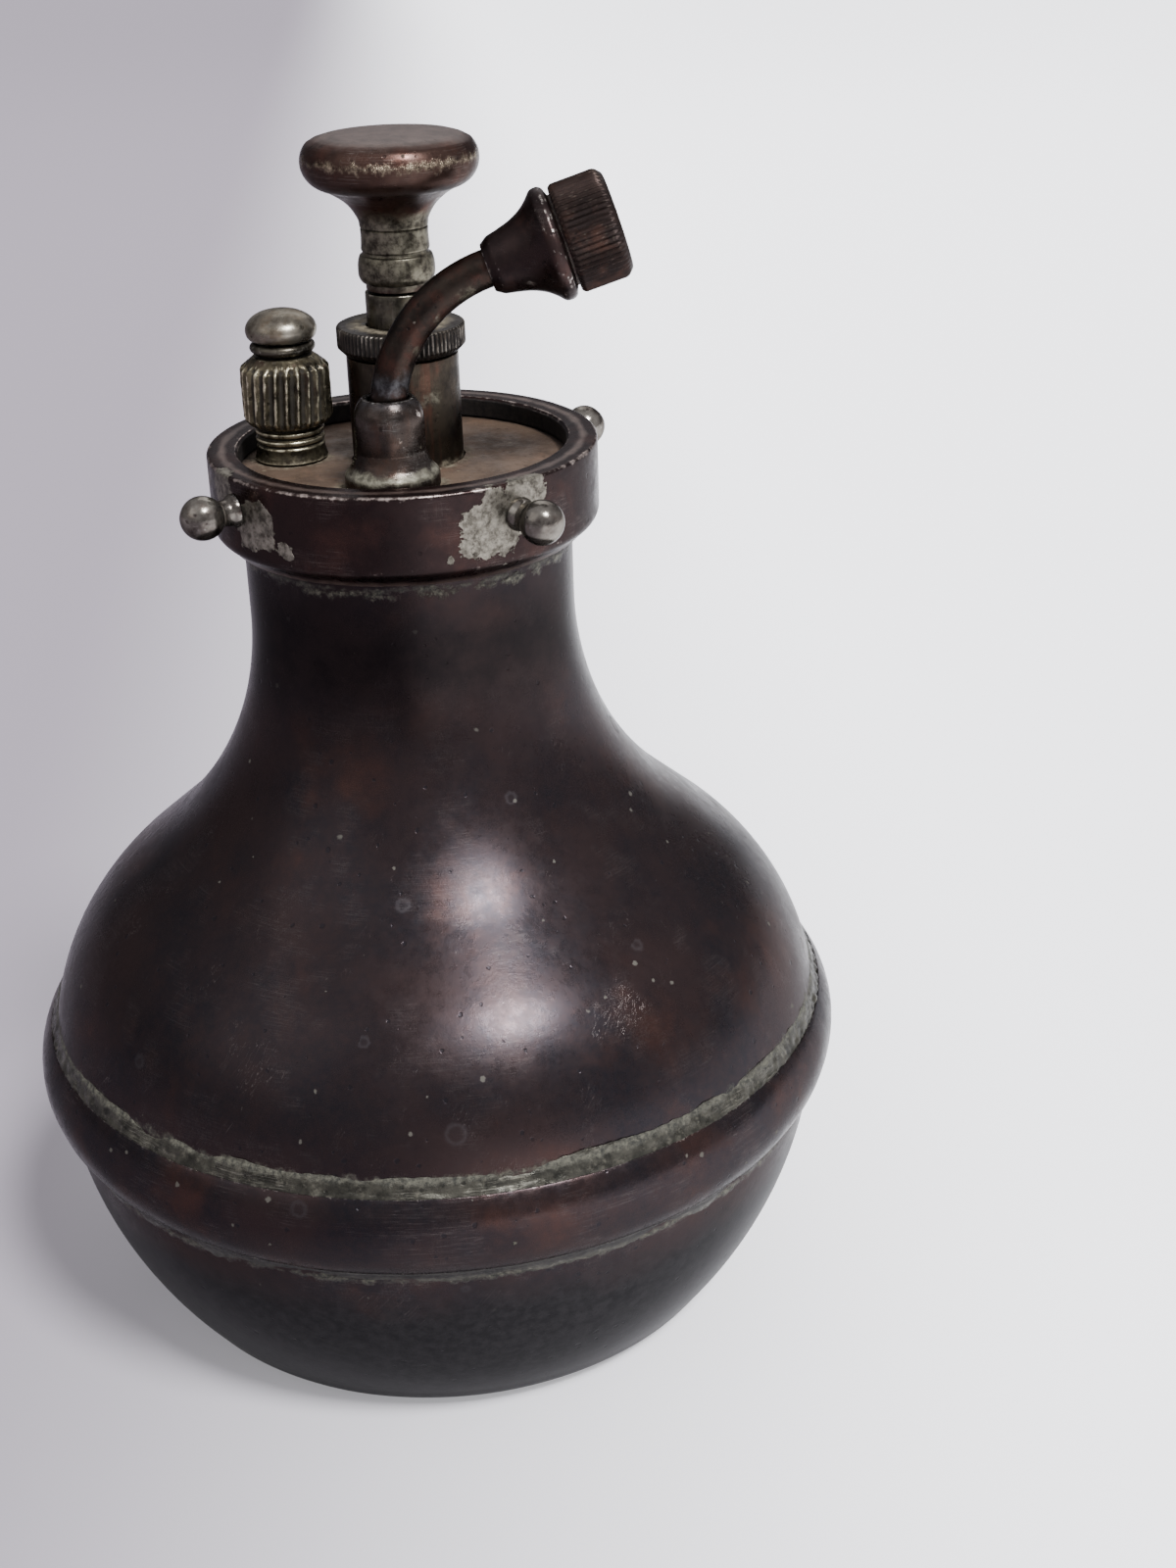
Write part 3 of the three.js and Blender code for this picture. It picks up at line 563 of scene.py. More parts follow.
class PatinaPainter:
    """Writes a patina's material."""

    def __init__(self, effects: Effects) -> None:
        """Keeps the shared effects."""
        self.effects = effects

    def paint(self, spec: Patina) -> Any:
        """Builds the material of a finish.

        Args:
            spec: The finish.

        Returns:
            The material.
        """
        material, g, coords = new_material(spec.name)
        where = g.vector("MULTIPLY", coords, PER_METRE)
        fx = self.effects

        broad = g.group(fx.clouds, Vector=where, Scale=spec.patch, Low=0.36, High=0.66)
        colour = g.blend(broad, spec.dark, spec.mid)
        other = g.vector("ADD", where, (31.0, 17.0, 5.0))
        warm = g.group(fx.clouds, Vector=other, Scale=spec.patch * 1.7, Low=spec.warm_low,
                       High=spec.warm_low + 0.24)
        colour = g.blend(warm, colour, spec.warm)
        mottle = g.cloud(where, 0.9, 8.0, 0.7)
        tone = g.step(mottle, 0.3, 0.75)
        colour = g.veil(tone, 0.5, colour, spec.mid)
        if spec.streak:
            tall = g.vector("MULTIPLY", where, (1.0, 1.0, 0.09))
            runs = g.group(fx.clouds, Vector=tall, Scale=0.55, Low=0.5, High=0.68)
            colour = g.veil(runs, spec.streak, colour, spec.warm)

        rough = g.value(g.step(g.cloud(where, spec.patch * 2.6, 6.0, 0.65), 0.34, 0.68),
                        *spec.rough)
        fine = g.math("SUBTRACT", g.cloud(where, 0.62, 7.0, 0.75), 0.5)
        rough = g.math("ADD", rough, g.math("MULTIPLY", fine, spec.gloss_grain), clamp=True)
        metal: Any = spec.metallic
        height = g.math("MULTIPLY", g.cloud(where, 5.5, 3.0, 0.6), spec.grain)
        height = g.math("ADD", height, g.math("MULTIPLY", g.cloud(where, 1.1, 4.0, 0.6),
                                              spec.grain * 2.5))

        level = g.group(fx.scratches, Vector=where, Stretch=(0.05, 0.05, 5.5), Width=0.014,
                        Cover=0.5)
        upright = g.group(fx.scratches, Vector=where, Stretch=(3.4, 3.4, 0.03), Width=0.012,
                          Cover=0.5)
        lines = g.math("MAXIMUM", g.math("MULTIPLY", level, spec.lines[0]),
                       g.math("MULTIPLY", upright, spec.lines[1]))
        if spec.lines[2]:
            turned = g.add("ShaderNodeVectorRotate", rotation_type="AXIS_ANGLE")
            g.feed(turned.inputs["Vector"], where)
            turned.inputs["Axis"].default_value = (0.2, 1.0, 0.1)
            turned.inputs["Angle"].default_value = -0.62
            slanted = g.group(fx.scratches, Vector=turned.outputs[0], Stretch=(1.7, 0.5, 0.02),
                              Width=0.006, Cover=0.56)
            lines = g.math("MAXIMUM", lines, g.math("MULTIPLY", slanted, spec.lines[2]))
        colour = g.veil(lines, 0.5, colour, spec.bright)
        height = g.math("SUBTRACT", height, g.math("MULTIPLY", lines, 0.004))

        if spec.stain:
            disc = g.group(fx.specks, Vector=other, Scale=0.19, Size=0.26, Share=spec.stain)
            heart = g.group(fx.specks, Vector=other, Scale=0.19, Size=0.19, Share=spec.stain)
            ring = g.math("SUBTRACT", disc, g.math("MULTIPLY", heart, 0.8))
            colour = g.veil(ring, 0.2, colour, STAIN_TONE)
            rough = g.value(g.math("MULTIPLY", ring, 0.5), rough, 0.6)
        pits = g.group(fx.specks, Vector=where, Scale=0.75, Size=0.26, Share=spec.pit)
        colour = g.veil(pits, 0.7, colour, spec.dark)
        height = g.math("SUBTRACT", height, g.math("MULTIPLY", pits, 0.03))
        specks = g.group(fx.specks, Vector=other, Scale=0.42, Size=0.16, Share=spec.speck)
        colour = g.veil(specks, 0.75, colour, spec.grime_and_crease_shade)
        rough = g.value(specks, rough, 0.7)

        # Creases take the grime colour: dust where that colour is lighter than the metal, painted
        # shade where it is darker.
        crease_dirt_and_shade = g.group(fx.crevice, Vector=where, Amount=spec.crease_dirt_and_shade, Scale=1.4)
        colour = g.veil(crease_dirt_and_shade, 0.85, colour, spec.grime_and_crease_shade)
        rough = g.value(crease_dirt_and_shade, rough, 0.8)
        metal = g.value(crease_dirt_and_shade, metal, 0.1)
        worn = g.group(fx.worn, Vector=where, Amount=spec.wear, Scale=spec.wear_scale)
        colour = g.veil(worn, 0.85, colour, spec.bright)
        rough = g.value(worn, rough, 0.3)
        metal = g.value(worn, metal, 0.95)

        for zone in spec.zones:
            colour, rough, metal, height = self._lay(g, zone, where, colour, rough, metal,
                                                     height)
        g.close(height, colour, Roughness=rough, Metallic=metal,
                **{"Specular Tint": (spec.edge_gloss,) * 3})
        return material

    def _lay(self, g: Graph, zone: Zone, where: Any, colour: Any, rough: Any, metal: Any,
             height: Any) -> tuple[Any, Any, Any, Any]:
        """Lays one zone over what is there and returns the new sockets."""
        mask = g.group(self.effects.zones[zone.shape], Vector=where, Centre=zone.centre,
                       Size=zone.size, Half=zone.half, Ragged=zone.ragged, Scale=zone.scale,
                       Soft=zone.soft)
        what = zone.deposit
        grain = g.cloud(where, what.grain, 7.0, 0.72)
        tone = g.blend(g.step(grain, 0.34, 0.66), what.dark, what.light)
        colour = g.blend(mask, colour, tone)
        rough = g.value(mask, rough, what.roughness)
        metal = g.value(mask, metal, what.metallic)
        rise = g.math("MULTIPLY_ADD", grain, what.relief)
        rise.node.inputs[2].default_value = what.height
        height = g.math("ADD", height, g.math("MULTIPLY", mask, rise))
        return colour, rough, metal, height


@dataclass(frozen=True)
class SoftFinish:
    """A plain soft material, such as leather, rubber or felt."""

    name: str
    dark: Colour
    light: Colour
    scale: float
    roughness: float
    relief: float
    stretch: Point = (1.0, 1.0, 1.0)

    def paint(self) -> Any:
        """Returns the material, with a grain of its own."""
        material, g, coords = new_material(self.name)
        where = g.vector("MULTIPLY", coords, tuple(1000.0 * s for s in self.stretch))
        grain = g.cloud(where, self.scale, 6.0, 0.7)
        colour = g.blend(g.step(grain, 0.3, 0.7), self.dark, self.light)
        g.close(g.math("MULTIPLY", grain, self.relief), colour, Roughness=self.roughness)
        return material


# ------------------------------------------------------------------ sizes that pieces share


@dataclass(frozen=True)
class Layout:
    """Heights and places that the sub-assemblies share, in millimetres."""

    seam: float = 40.5
    belly: float = 57.0
    neck: float = 22.5
    neck_top: float = 117.36
    plate_top: float = 126.46
    collar_bottom: float = 116.96
    collar_top: float = 129.46
    pump: Point = (0.7, 2.2)
    relief: Point = (-15.2, 4.3)
    outlet: Point = (-1.6, -12.0)
    stud_angle: float = -57.5
    stud_height: float = 125.16


LAYOUT = Layout()

STAIN_TONE: Colour = (0.06, 0.06, 0.065)
UMBER: Colour = (0.026, 0.0165, 0.0162)
RUSSET: Colour = (0.04, 0.02, 0.0165)
BLUE_BLACK: Colour = (0.0125, 0.0112, 0.0138)
PALE_METAL: Colour = (0.2, 0.175, 0.165)
STONE_GREY: Colour = (0.105, 0.1, 0.085)


def on_collar(angle: float, height: float) -> Point:
    """A point on the collar's outside at an angle in degrees and a height."""
    a = math.radians(angle)
    return (26.3 * math.cos(a), 26.3 * math.sin(a), height)


def plating_left(places: Sequence[tuple[float, float, float, float]]) -> tuple[Zone, ...]:
    """Plating left on the collar, each patch an angle, a height, a size and a raggedness."""
    return tuple(
        spot(PLATING, on_collar(angle, height), size, ragged, min(0.9, 1.1 / ragged ** 0.8),
             0.12)
        for angle, height, size, ragged in places
    )


STUD_PATCHES = (
    (-66.0, 124.6, 4.3, 6.5), (-55.0, 127.4, 3.2, 5.5), (-73.5, 121.9, 1.5, 4.0),
    (221.0, 123.8, 3.9, 6.0), (206.0, 127.2, 3.0, 5.0), (233.0, 121.5, 1.2, 3.6),
    (125.0, 125.0, 4.2, 6.5), (114.0, 127.0, 2.6, 5.0), (37.0, 124.5, 4.0, 6.5),
    (24.0, 126.8, 2.6, 5.0), (190.0, 127.4, 1.6, 4.6),
)
EDGE_CHIPS = (
    (-87.0, 118.2, 0.4, 1.5), (-80.0, 118.0, 0.6, 1.9), (-79.0, 120.6, 0.5, 2.4),
    (-73.0, 118.3, 0.35, 1.5), (-69.5, 118.5, 0.4, 1.7), (-66.0, 118.6, 0.3, 1.4),
    (-62.5, 118.8, 0.4, 1.6), (-104.0, 118.1, 0.25, 1.2), (-110.0, 118.0, 0.3, 1.3),
    (-139.0, 118.4, 0.6, 2.0), (20.0, 118.2, 0.5, 1.7), (66.0, 118.0, 0.45, 1.7),
    (101.0, 118.3, 0.55, 1.9), (163.0, 118.2, 0.45, 1.6), (-95.0, 124.0, 0.1, 1.3),
)


METALS = {
    "vessel": Patina(
        "dark_copper_vessel", BLUE_BLACK, UMBER, RUSSET, PALE_METAL, STONE_GREY, patch=0.034,
        rough=(0.25, 0.34), wear=0.25, crease_dirt_and_shade=1.4, pit=0.12, lines=(0.3, 0.35, 0.9), grain=0.005,
        stain=0.2, gloss_grain=0.26, zones=(
            # Painted shade over the throat and neck.
            band(SHADE, 106.0, 16.0, 12.0, 0.04, 15.0),
            # The lower bowl's own grey-black, deepened as painted shade.
            band(BOWL_GREY_AND_SHADE, 8.0, 25.0, 14.0, 0.05, 9.0),
            band(VERDIGRIS, 48.2, 0.9, 4.6, 0.42, 1.3),
            band(SOLDER, 47.2, 0.5, 3.2, 0.5, 0.9),
            band(VERDIGRIS, 32.9, 0.8, 4.4, 0.42, 1.2),
            band(SOLDER, 32.6, -0.2, 4.4, 0.5, 0.9),
            band(VERDIGRIS, 115.9, 0.5, 4.6, 0.36, 1.2),
            band(SOLDER, 115.2, 0.5, 5.4, 0.34, 1.1),
            spot(SOLDER, (-13.0, -45.0, 7.4), -0.4, 8.5, 0.22, 1.6),
            band(VERDIGRIS, 6.0, 0.1, 3.5, 0.2, 2.6),
        )),
    "band": Patina(
        "dark_copper_band", BLUE_BLACK, UMBER, RUSSET, PALE_METAL, STONE_GREY, patch=0.05,
        rough=(0.22, 0.32), crease_dirt_and_shade=1.2, speck=0.16, pit=0.12, lines=(0.5, 0.1, 0.0), grain=0.005,
        stain=0.15, zones=(
            band(SOLDER, 46.7, 0.3, 2.4, 0.5, 0.7),
            band(VERDIGRIS, 34.3, 0.2, 1.5, 0.6, 0.6),
            spot(SOLDER, (7.4, -58.6, 39.6), 0.45, 2.9, 0.8, 0.4),
        )),
    "solder": Patina(
        "seam_solder", (0.0115, 0.011, 0.009), (0.046, 0.0435, 0.0345), (0.115, 0.108, 0.085),
        (0.34, 0.325, 0.27), (0.012, 0.0115, 0.009), patch=0.5, warm_low=0.52, rough=(0.27, 0.46),
        metallic=0.7, wear=0.2, crease_dirt_and_shade=0.3, speck=0.06, pit=0.5, lines=(1.0, 0.0, 0.0), grain=0.03,
        edge_gloss=0.6, zones=(
            band(VERDIGRIS, 48.5, 0.8, 2.4, 0.6, 0.9),
            # Painted shade on the lower bead, which sits under the band's bulge and faces down.
            band(PAINTED_SHADE, 33.9, 1.2, 2.0, 0.4, 1.2),
        )),
    "collar": Patina(
        "purple_brown_collar", (0.0115, 0.0072, 0.0073), (0.0185, 0.0106, 0.0102),
        (0.034, 0.0165, 0.0138), (0.36, 0.3, 0.27), STONE_GREY, patch=0.07, warm_low=0.48,
        rough=(0.25, 0.36), wear=0.44, wear_scale=0.7, speck=0.09, pit=0.1,
        lines=(0.4, 0.12, 0.25), grain=0.004, stain=0.1,
        zones=plating_left(STUD_PATCHES) + plating_left(EDGE_CHIPS) + (
            # Painted shade down the bore of the collar's lip.
            rim(PAINTED_SHADE, (0, 0), 22.0, 0.3, 0.3, 0.6, 0.2),
            rim(TARNISH, (0, 0), 24.3, 0.9, 1.6, 0.3, 0.9),
        )),
    "stud": Patina(
        "worn_stud", (0.018, 0.012, 0.011), (0.2, 0.185, 0.16), (0.05, 0.027, 0.022),
        (0.7, 0.67, 0.63), (0.05, 0.04, 0.03), rough=(0.13, 0.26), metallic=0.9,
        lines=(0.2, 0.1, 0.0), gloss_grain=0.3),
    "plate": Patina(
        "dusty_head_plate", (0.042, 0.027, 0.0185), (0.1, 0.067, 0.046), (0.12, 0.07, 0.045),
        (0.22, 0.175, 0.13), (0.14, 0.115, 0.078), patch=0.11, rough=(0.62, 0.85), metallic=0.2,
        speck=0.35, pit=0.5, lines=(0.0, 0.0, 0.0), grain=0.04, zones=(
            # Painted shadow on the plate under the collar's lip.
            rim(PAINTED_SHADE, (0, 0), 22.4, 1.2, 2.2, 0.4, 1.6),
            rim(DUST, LAYOUT.relief, 5.0, 1.0, 5.0, 0.45, 1.8),
            rim(DUST, LAYOUT.outlet, 6.6, 1.4, 5.5, 0.4, 1.8),
            rim(DUST, LAYOUT.pump, 8.2, 0.9, 4.0, 0.45, 1.6),
        )),
    "barrel": Patina(
        "mottled_barrel", (0.01, 0.0082, 0.0075), (0.038, 0.03, 0.021), (0.06, 0.029, 0.02),
        (0.28, 0.24, 0.16), (0.1, 0.088, 0.055), rough=(0.28, 0.46), metallic=0.82, wear=0.25,
        speck=0.22, pit=0.2, lines=(0.1, 0.3, 0.0), streak=0.75, grain=0.009, zones=(
            band(DUST, 126.6, 0.7, 2.6, 0.45, 1.2),
            spot(MOTTLE, (3.6, -4.4, 135.5), 2.2, 9.0, 0.3, 2.4),
            spot(MOTTLE, (4.4, -4.0, 129.5), 0.6, 7.0, 0.4, 2.0),
        )),
    # The gland cap's near-black crease colour is painted shade in the grooves between its teeth.
    "gland": Patina(
        "dusty_gland_cap", (0.011, 0.0095, 0.0088), (0.03, 0.025, 0.021), (0.05, 0.038, 0.024),
        (0.19, 0.17, 0.145), (0.0045, 0.0038, 0.0035), patch=0.14, rough=(0.3, 0.5),
        metallic=0.75, wear=0.4, wear_scale=0.5, speck=0.1, lines=(0.1, 0.1, 0.0), grain=0.014,
        zones=(
            rim(DUST, LAYOUT.pump, 5.6, 1.9, 4.0, 0.5, 2.0),
        )),
    "knob": Patina(
        "red_brown_knob", (0.018, 0.011, 0.0095), (0.044, 0.0245, 0.019), (0.066, 0.03, 0.0225),
        (0.5, 0.44, 0.39), (0.05, 0.04, 0.032), patch=0.085, warm_low=0.45, rough=(0.27, 0.4),
        metallic=0.82, wear=0.1, crease_dirt_and_shade=0.7, lines=(0.4, 0.0, 0.4), grain=0.008, zones=(
            spot(TARNISH, (0.7, 2.2, 172.5), 11.9, 2.6, 0.3, 2.6),
            # Painted shade under the knob's rim.
            band(PAINTED_SHADE, 163.0, 0.9, 2.8, 0.35, 1.7),
            band(PITTED, 166.3, 0.8, 3.8, 0.6, 1.2),
            band(MOTTLE, 154.6, 6.0, 4.0, 0.3, 2.6),
        )),
    "rod": Patina(
        "mottled_rod", (0.018, 0.016, 0.0125), (0.085, 0.078, 0.058), (0.05, 0.036, 0.025),
        (0.4, 0.37, 0.31), (0.02, 0.017, 0.013), patch=0.4, rough=(0.28, 0.42), metallic=0.88,
        speck=0.2, lines=(0.2, 0.5, 0.0), grain=0.008),
    "nickel": Patina(
        "mottled_nickel", (0.065, 0.055, 0.042), (0.24, 0.22, 0.18), (0.12, 0.09, 0.058),
        (0.55, 0.52, 0.47), (0.03, 0.023, 0.016), patch=0.19, rough=(0.26, 0.4), metallic=0.88,
        crease_dirt_and_shade=1.2, speck=0.18, lines=(0.3, 0.1, 0.0)),
    "washer": Patina(
        "dark_valve_ring", (0.02, 0.017, 0.013), (0.075, 0.067, 0.052), (0.045, 0.032, 0.022),
        (0.36, 0.34, 0.3), (0.02, 0.016, 0.012), patch=0.25, rough=(0.25, 0.42), metallic=0.85,
        crease_dirt_and_shade=1.2, speck=0.15, pit=0.25, lines=(0.4, 0.0, 0.0)),
    # The nut's dark crease colour is painted shade in its flutes' grooves.
    "nut": Patina(
        "olive_gold_nut", (0.0135, 0.0108, 0.0085), (0.1, 0.086, 0.055), (0.04, 0.023, 0.018),
        (0.46, 0.42, 0.3), (0.011, 0.009, 0.007), patch=0.3, rough=(0.26, 0.44), metallic=0.85,
        wear=0.5, wear_scale=0.75, crease_dirt_and_shade=1.3, speck=0.2, pit=0.55, lines=(0.1, 0.5, 0.0),
        grain=0.018, zones=(
            # Painted shade on the nut's chamfer under the washer.
            band(PAINTED_SHADE, 139.9, 0.1, 2.4, 0.5, 1.0),
            band(DUST, 126.9, 0.4, 1.8, 0.6, 0.8),
        )),
    "boss": Patina(
        "brown_boss", (0.017, 0.0128, 0.0115), (0.046, 0.036, 0.031), (0.055, 0.031, 0.022),
        (0.62, 0.6, 0.56), (0.12, 0.11, 0.08), warm_low=0.48, rough=(0.2, 0.34), metallic=0.86,
        wear=0.35, pit=0.2, lines=(0.4, 0.3, 0.0), streak=0.3, zones=(
            band(STEEL_BLUE, 138.2, 0.9, 2.6, 0.3, 1.6),
            # Near-white spots on the boss's front: worn bare metal and painted highlights.
            spot(BARE_METAL_AND_GLINT, (-0.4, -16.4, 133.4), 0.4, 4.4, 0.8, 0.5),
            spot(BARE_METAL_AND_GLINT, (2.2, -14.4, 136.6), 0.5, 2.8, 0.9, 0.5),
            spot(MOTTLE, (-3.0, -15.8, 131.6), 0.2, 6.0, 0.35, 1.6),
            band(CHALK, 128.9, 1.1, 3.0, 0.4, 1.2),
            # The same on the boss's foot: worn bare metal and a painted highlight.
            spot(BARE_METAL_AND_GLINT, (3.6, -15.0, 128.0), 0.2, 3.6, 0.7, 0.8),
        )),
    "pipe": Patina(
        "red_brown_pipe", (0.0095, 0.0075, 0.0068), (0.0235, 0.0175, 0.014),
        (0.036, 0.0172, 0.0135), (0.3, 0.27, 0.25), (0.13, 0.115, 0.095), patch=0.2,
        warm_low=0.42, rough=(0.28, 0.42), metallic=0.85, wear=0.2, speck=0.4, pit=0.5,
        lines=(0.2, 0.5, 0.0), grain=0.012, edge_gloss=0.25, zones=(
            band(STEEL_BLUE, 140.4, 1.9, 4.5, 0.4, 1.8),
            spot(MOTTLE, (9.2, -13.8, 151.2), 1.6, 4.6, 0.6, 1.8),
            spot(MOTTLE, (5.4, -13.8, 148.3), 0.9, 4.6, 0.6, 1.8),
            spot(MOTTLE, (2.4, -13.8, 144.6), 1.0, 4.2, 0.6, 1.8),
        )),
    "nozzle": Patina(
        "brown_black_nozzle", (0.0115, 0.0078, 0.0078), (0.0235, 0.0145, 0.0135),
        (0.038, 0.0195, 0.0165), (0.5, 0.45, 0.41), (0.08, 0.066, 0.055), patch=0.12,
        rough=(0.27, 0.42), wear=0.4, speck=0.12, pit=0.2, lines=(0.3, 0.3, 0.0), grain=0.008,
        zones=(
            # Near-white spot on the nozzle's near side: worn bare metal and a painted highlight.
            spot(BARE_METAL_AND_GLINT, (17.2, -15.9, 152.4), 0.5, 4.6, 0.5, 1.6),
            spot(MOTTLE, (15.0, -15.3, 151.2), 0.6, 4.0, 0.5, 1.6),
        )),
    "spray_cap": Patina(
        "brown_spray_cap", (0.0095, 0.0065, 0.006), (0.02, 0.0125, 0.0105),
        (0.034, 0.0165, 0.012), (0.22, 0.17, 0.14), (0.05, 0.04, 0.03), patch=0.18, warm_low=0.48,
        rough=(0.34, 0.55), metallic=0.75, wear=0.2, wear_scale=0.5, crease_dirt_and_shade=0.3, speck=0.25,
        pit=0.35, lines=(0.1, 0.1, 0.0), grain=0.02),
    "brass": Patina(
        "plain_turned_brass", (0.1, 0.07, 0.032), (0.2, 0.145, 0.066), (0.15, 0.085, 0.04),
        (0.55, 0.46, 0.28), (0.045, 0.04, 0.025), patch=0.1, warm_low=0.54, rough=(0.3, 0.5),
        metallic=0.9, wear=0.4, speck=0.1, pit=0.1, lines=(0.5, 0.1, 0.0), grain=0.006),
    "steel": Patina(
        "spring_steel", (0.3, 0.3, 0.3), (0.45, 0.45, 0.46), (0.4, 0.36, 0.32), (0.7, 0.7, 0.7),
        (0.1, 0.08, 0.06), patch=0.3, warm_low=0.6, rough=(0.25, 0.4), metallic=1.0, crease_dirt_and_shade=0.5,
        speck=0.1, pit=0.1, lines=(0.35, 0.3, 0.0), grain=0.003),
}
SOFT_FINISHES = {
    "rubber": SoftFinish(
        "black_rubber", (0.012, 0.012, 0.012), (0.03, 0.029, 0.028), 2.0, 0.75, 0.02),
    "leather": SoftFinish(
        "oiled_cup_leather", (0.07, 0.035, 0.018), (0.16, 0.085, 0.045), 1.4, 0.6, 0.06),
    "felt": SoftFinish(
        "packing_felt", (0.12, 0.11, 0.09), (0.26, 0.24, 0.2), 3.0, 0.98, 0.15, (1.0, 1.0, 3.0)),
}


class Finishes:
    """Every material of the sprayer, painted once and kept under its finish's key."""

    def __init__(self) -> None:
        """Paints the materials."""
        painter = PatinaPainter(Effects())
        for key, spec in METALS.items():
            setattr(self, key, painter.paint(spec))
        for key, soft in SOFT_FINISHES.items():
            setattr(self, key, soft.paint())


# ------------------------------------------------------------------ sub-assemblies


@dataclass
class Assembly:
    """What every sub-assembly has: the finishes, and a way to fit a piece that it has made."""

    finishes: Finishes

    def fit(self, name: str, bm: Any, finish: str, slot: str, body: str, *nodes: str,
            sharp: float = 40.0) -> Any:
        """Dresses a mesh and fits it to a body as a named piece.

        Args:
            name: Name of the piece.
            bm: The mesh, already in place; it is freed here.
            finish: Key of the piece's finish.
            slot: The record's material slot; not used.
            body: The body that the piece moves with.
            nodes: CAD nodes that the piece stands for.
            sharp: Edges that bend further than this, in degrees, stay sharp.

        Returns:
            The new object.
        """
        mark_wear(bm)
        mesh = bpy.data.meshes.new(name)
        bm.to_mesh(mesh)
        bm.free()
        mesh.materials.append(getattr(self.finishes, finish))
        mesh.shade_smooth()
        mesh.set_sharp_from_angle(angle=math.radians(sharp))
        piece = bpy.data.objects.new(name, mesh)
        bpy.context.scene.collection.objects.link(piece)
        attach(piece, body)
        if nodes:
            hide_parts(*nodes)
        LOG.info("%s: %d faces on %s", name, len(mesh.polygons), body)
        return piece


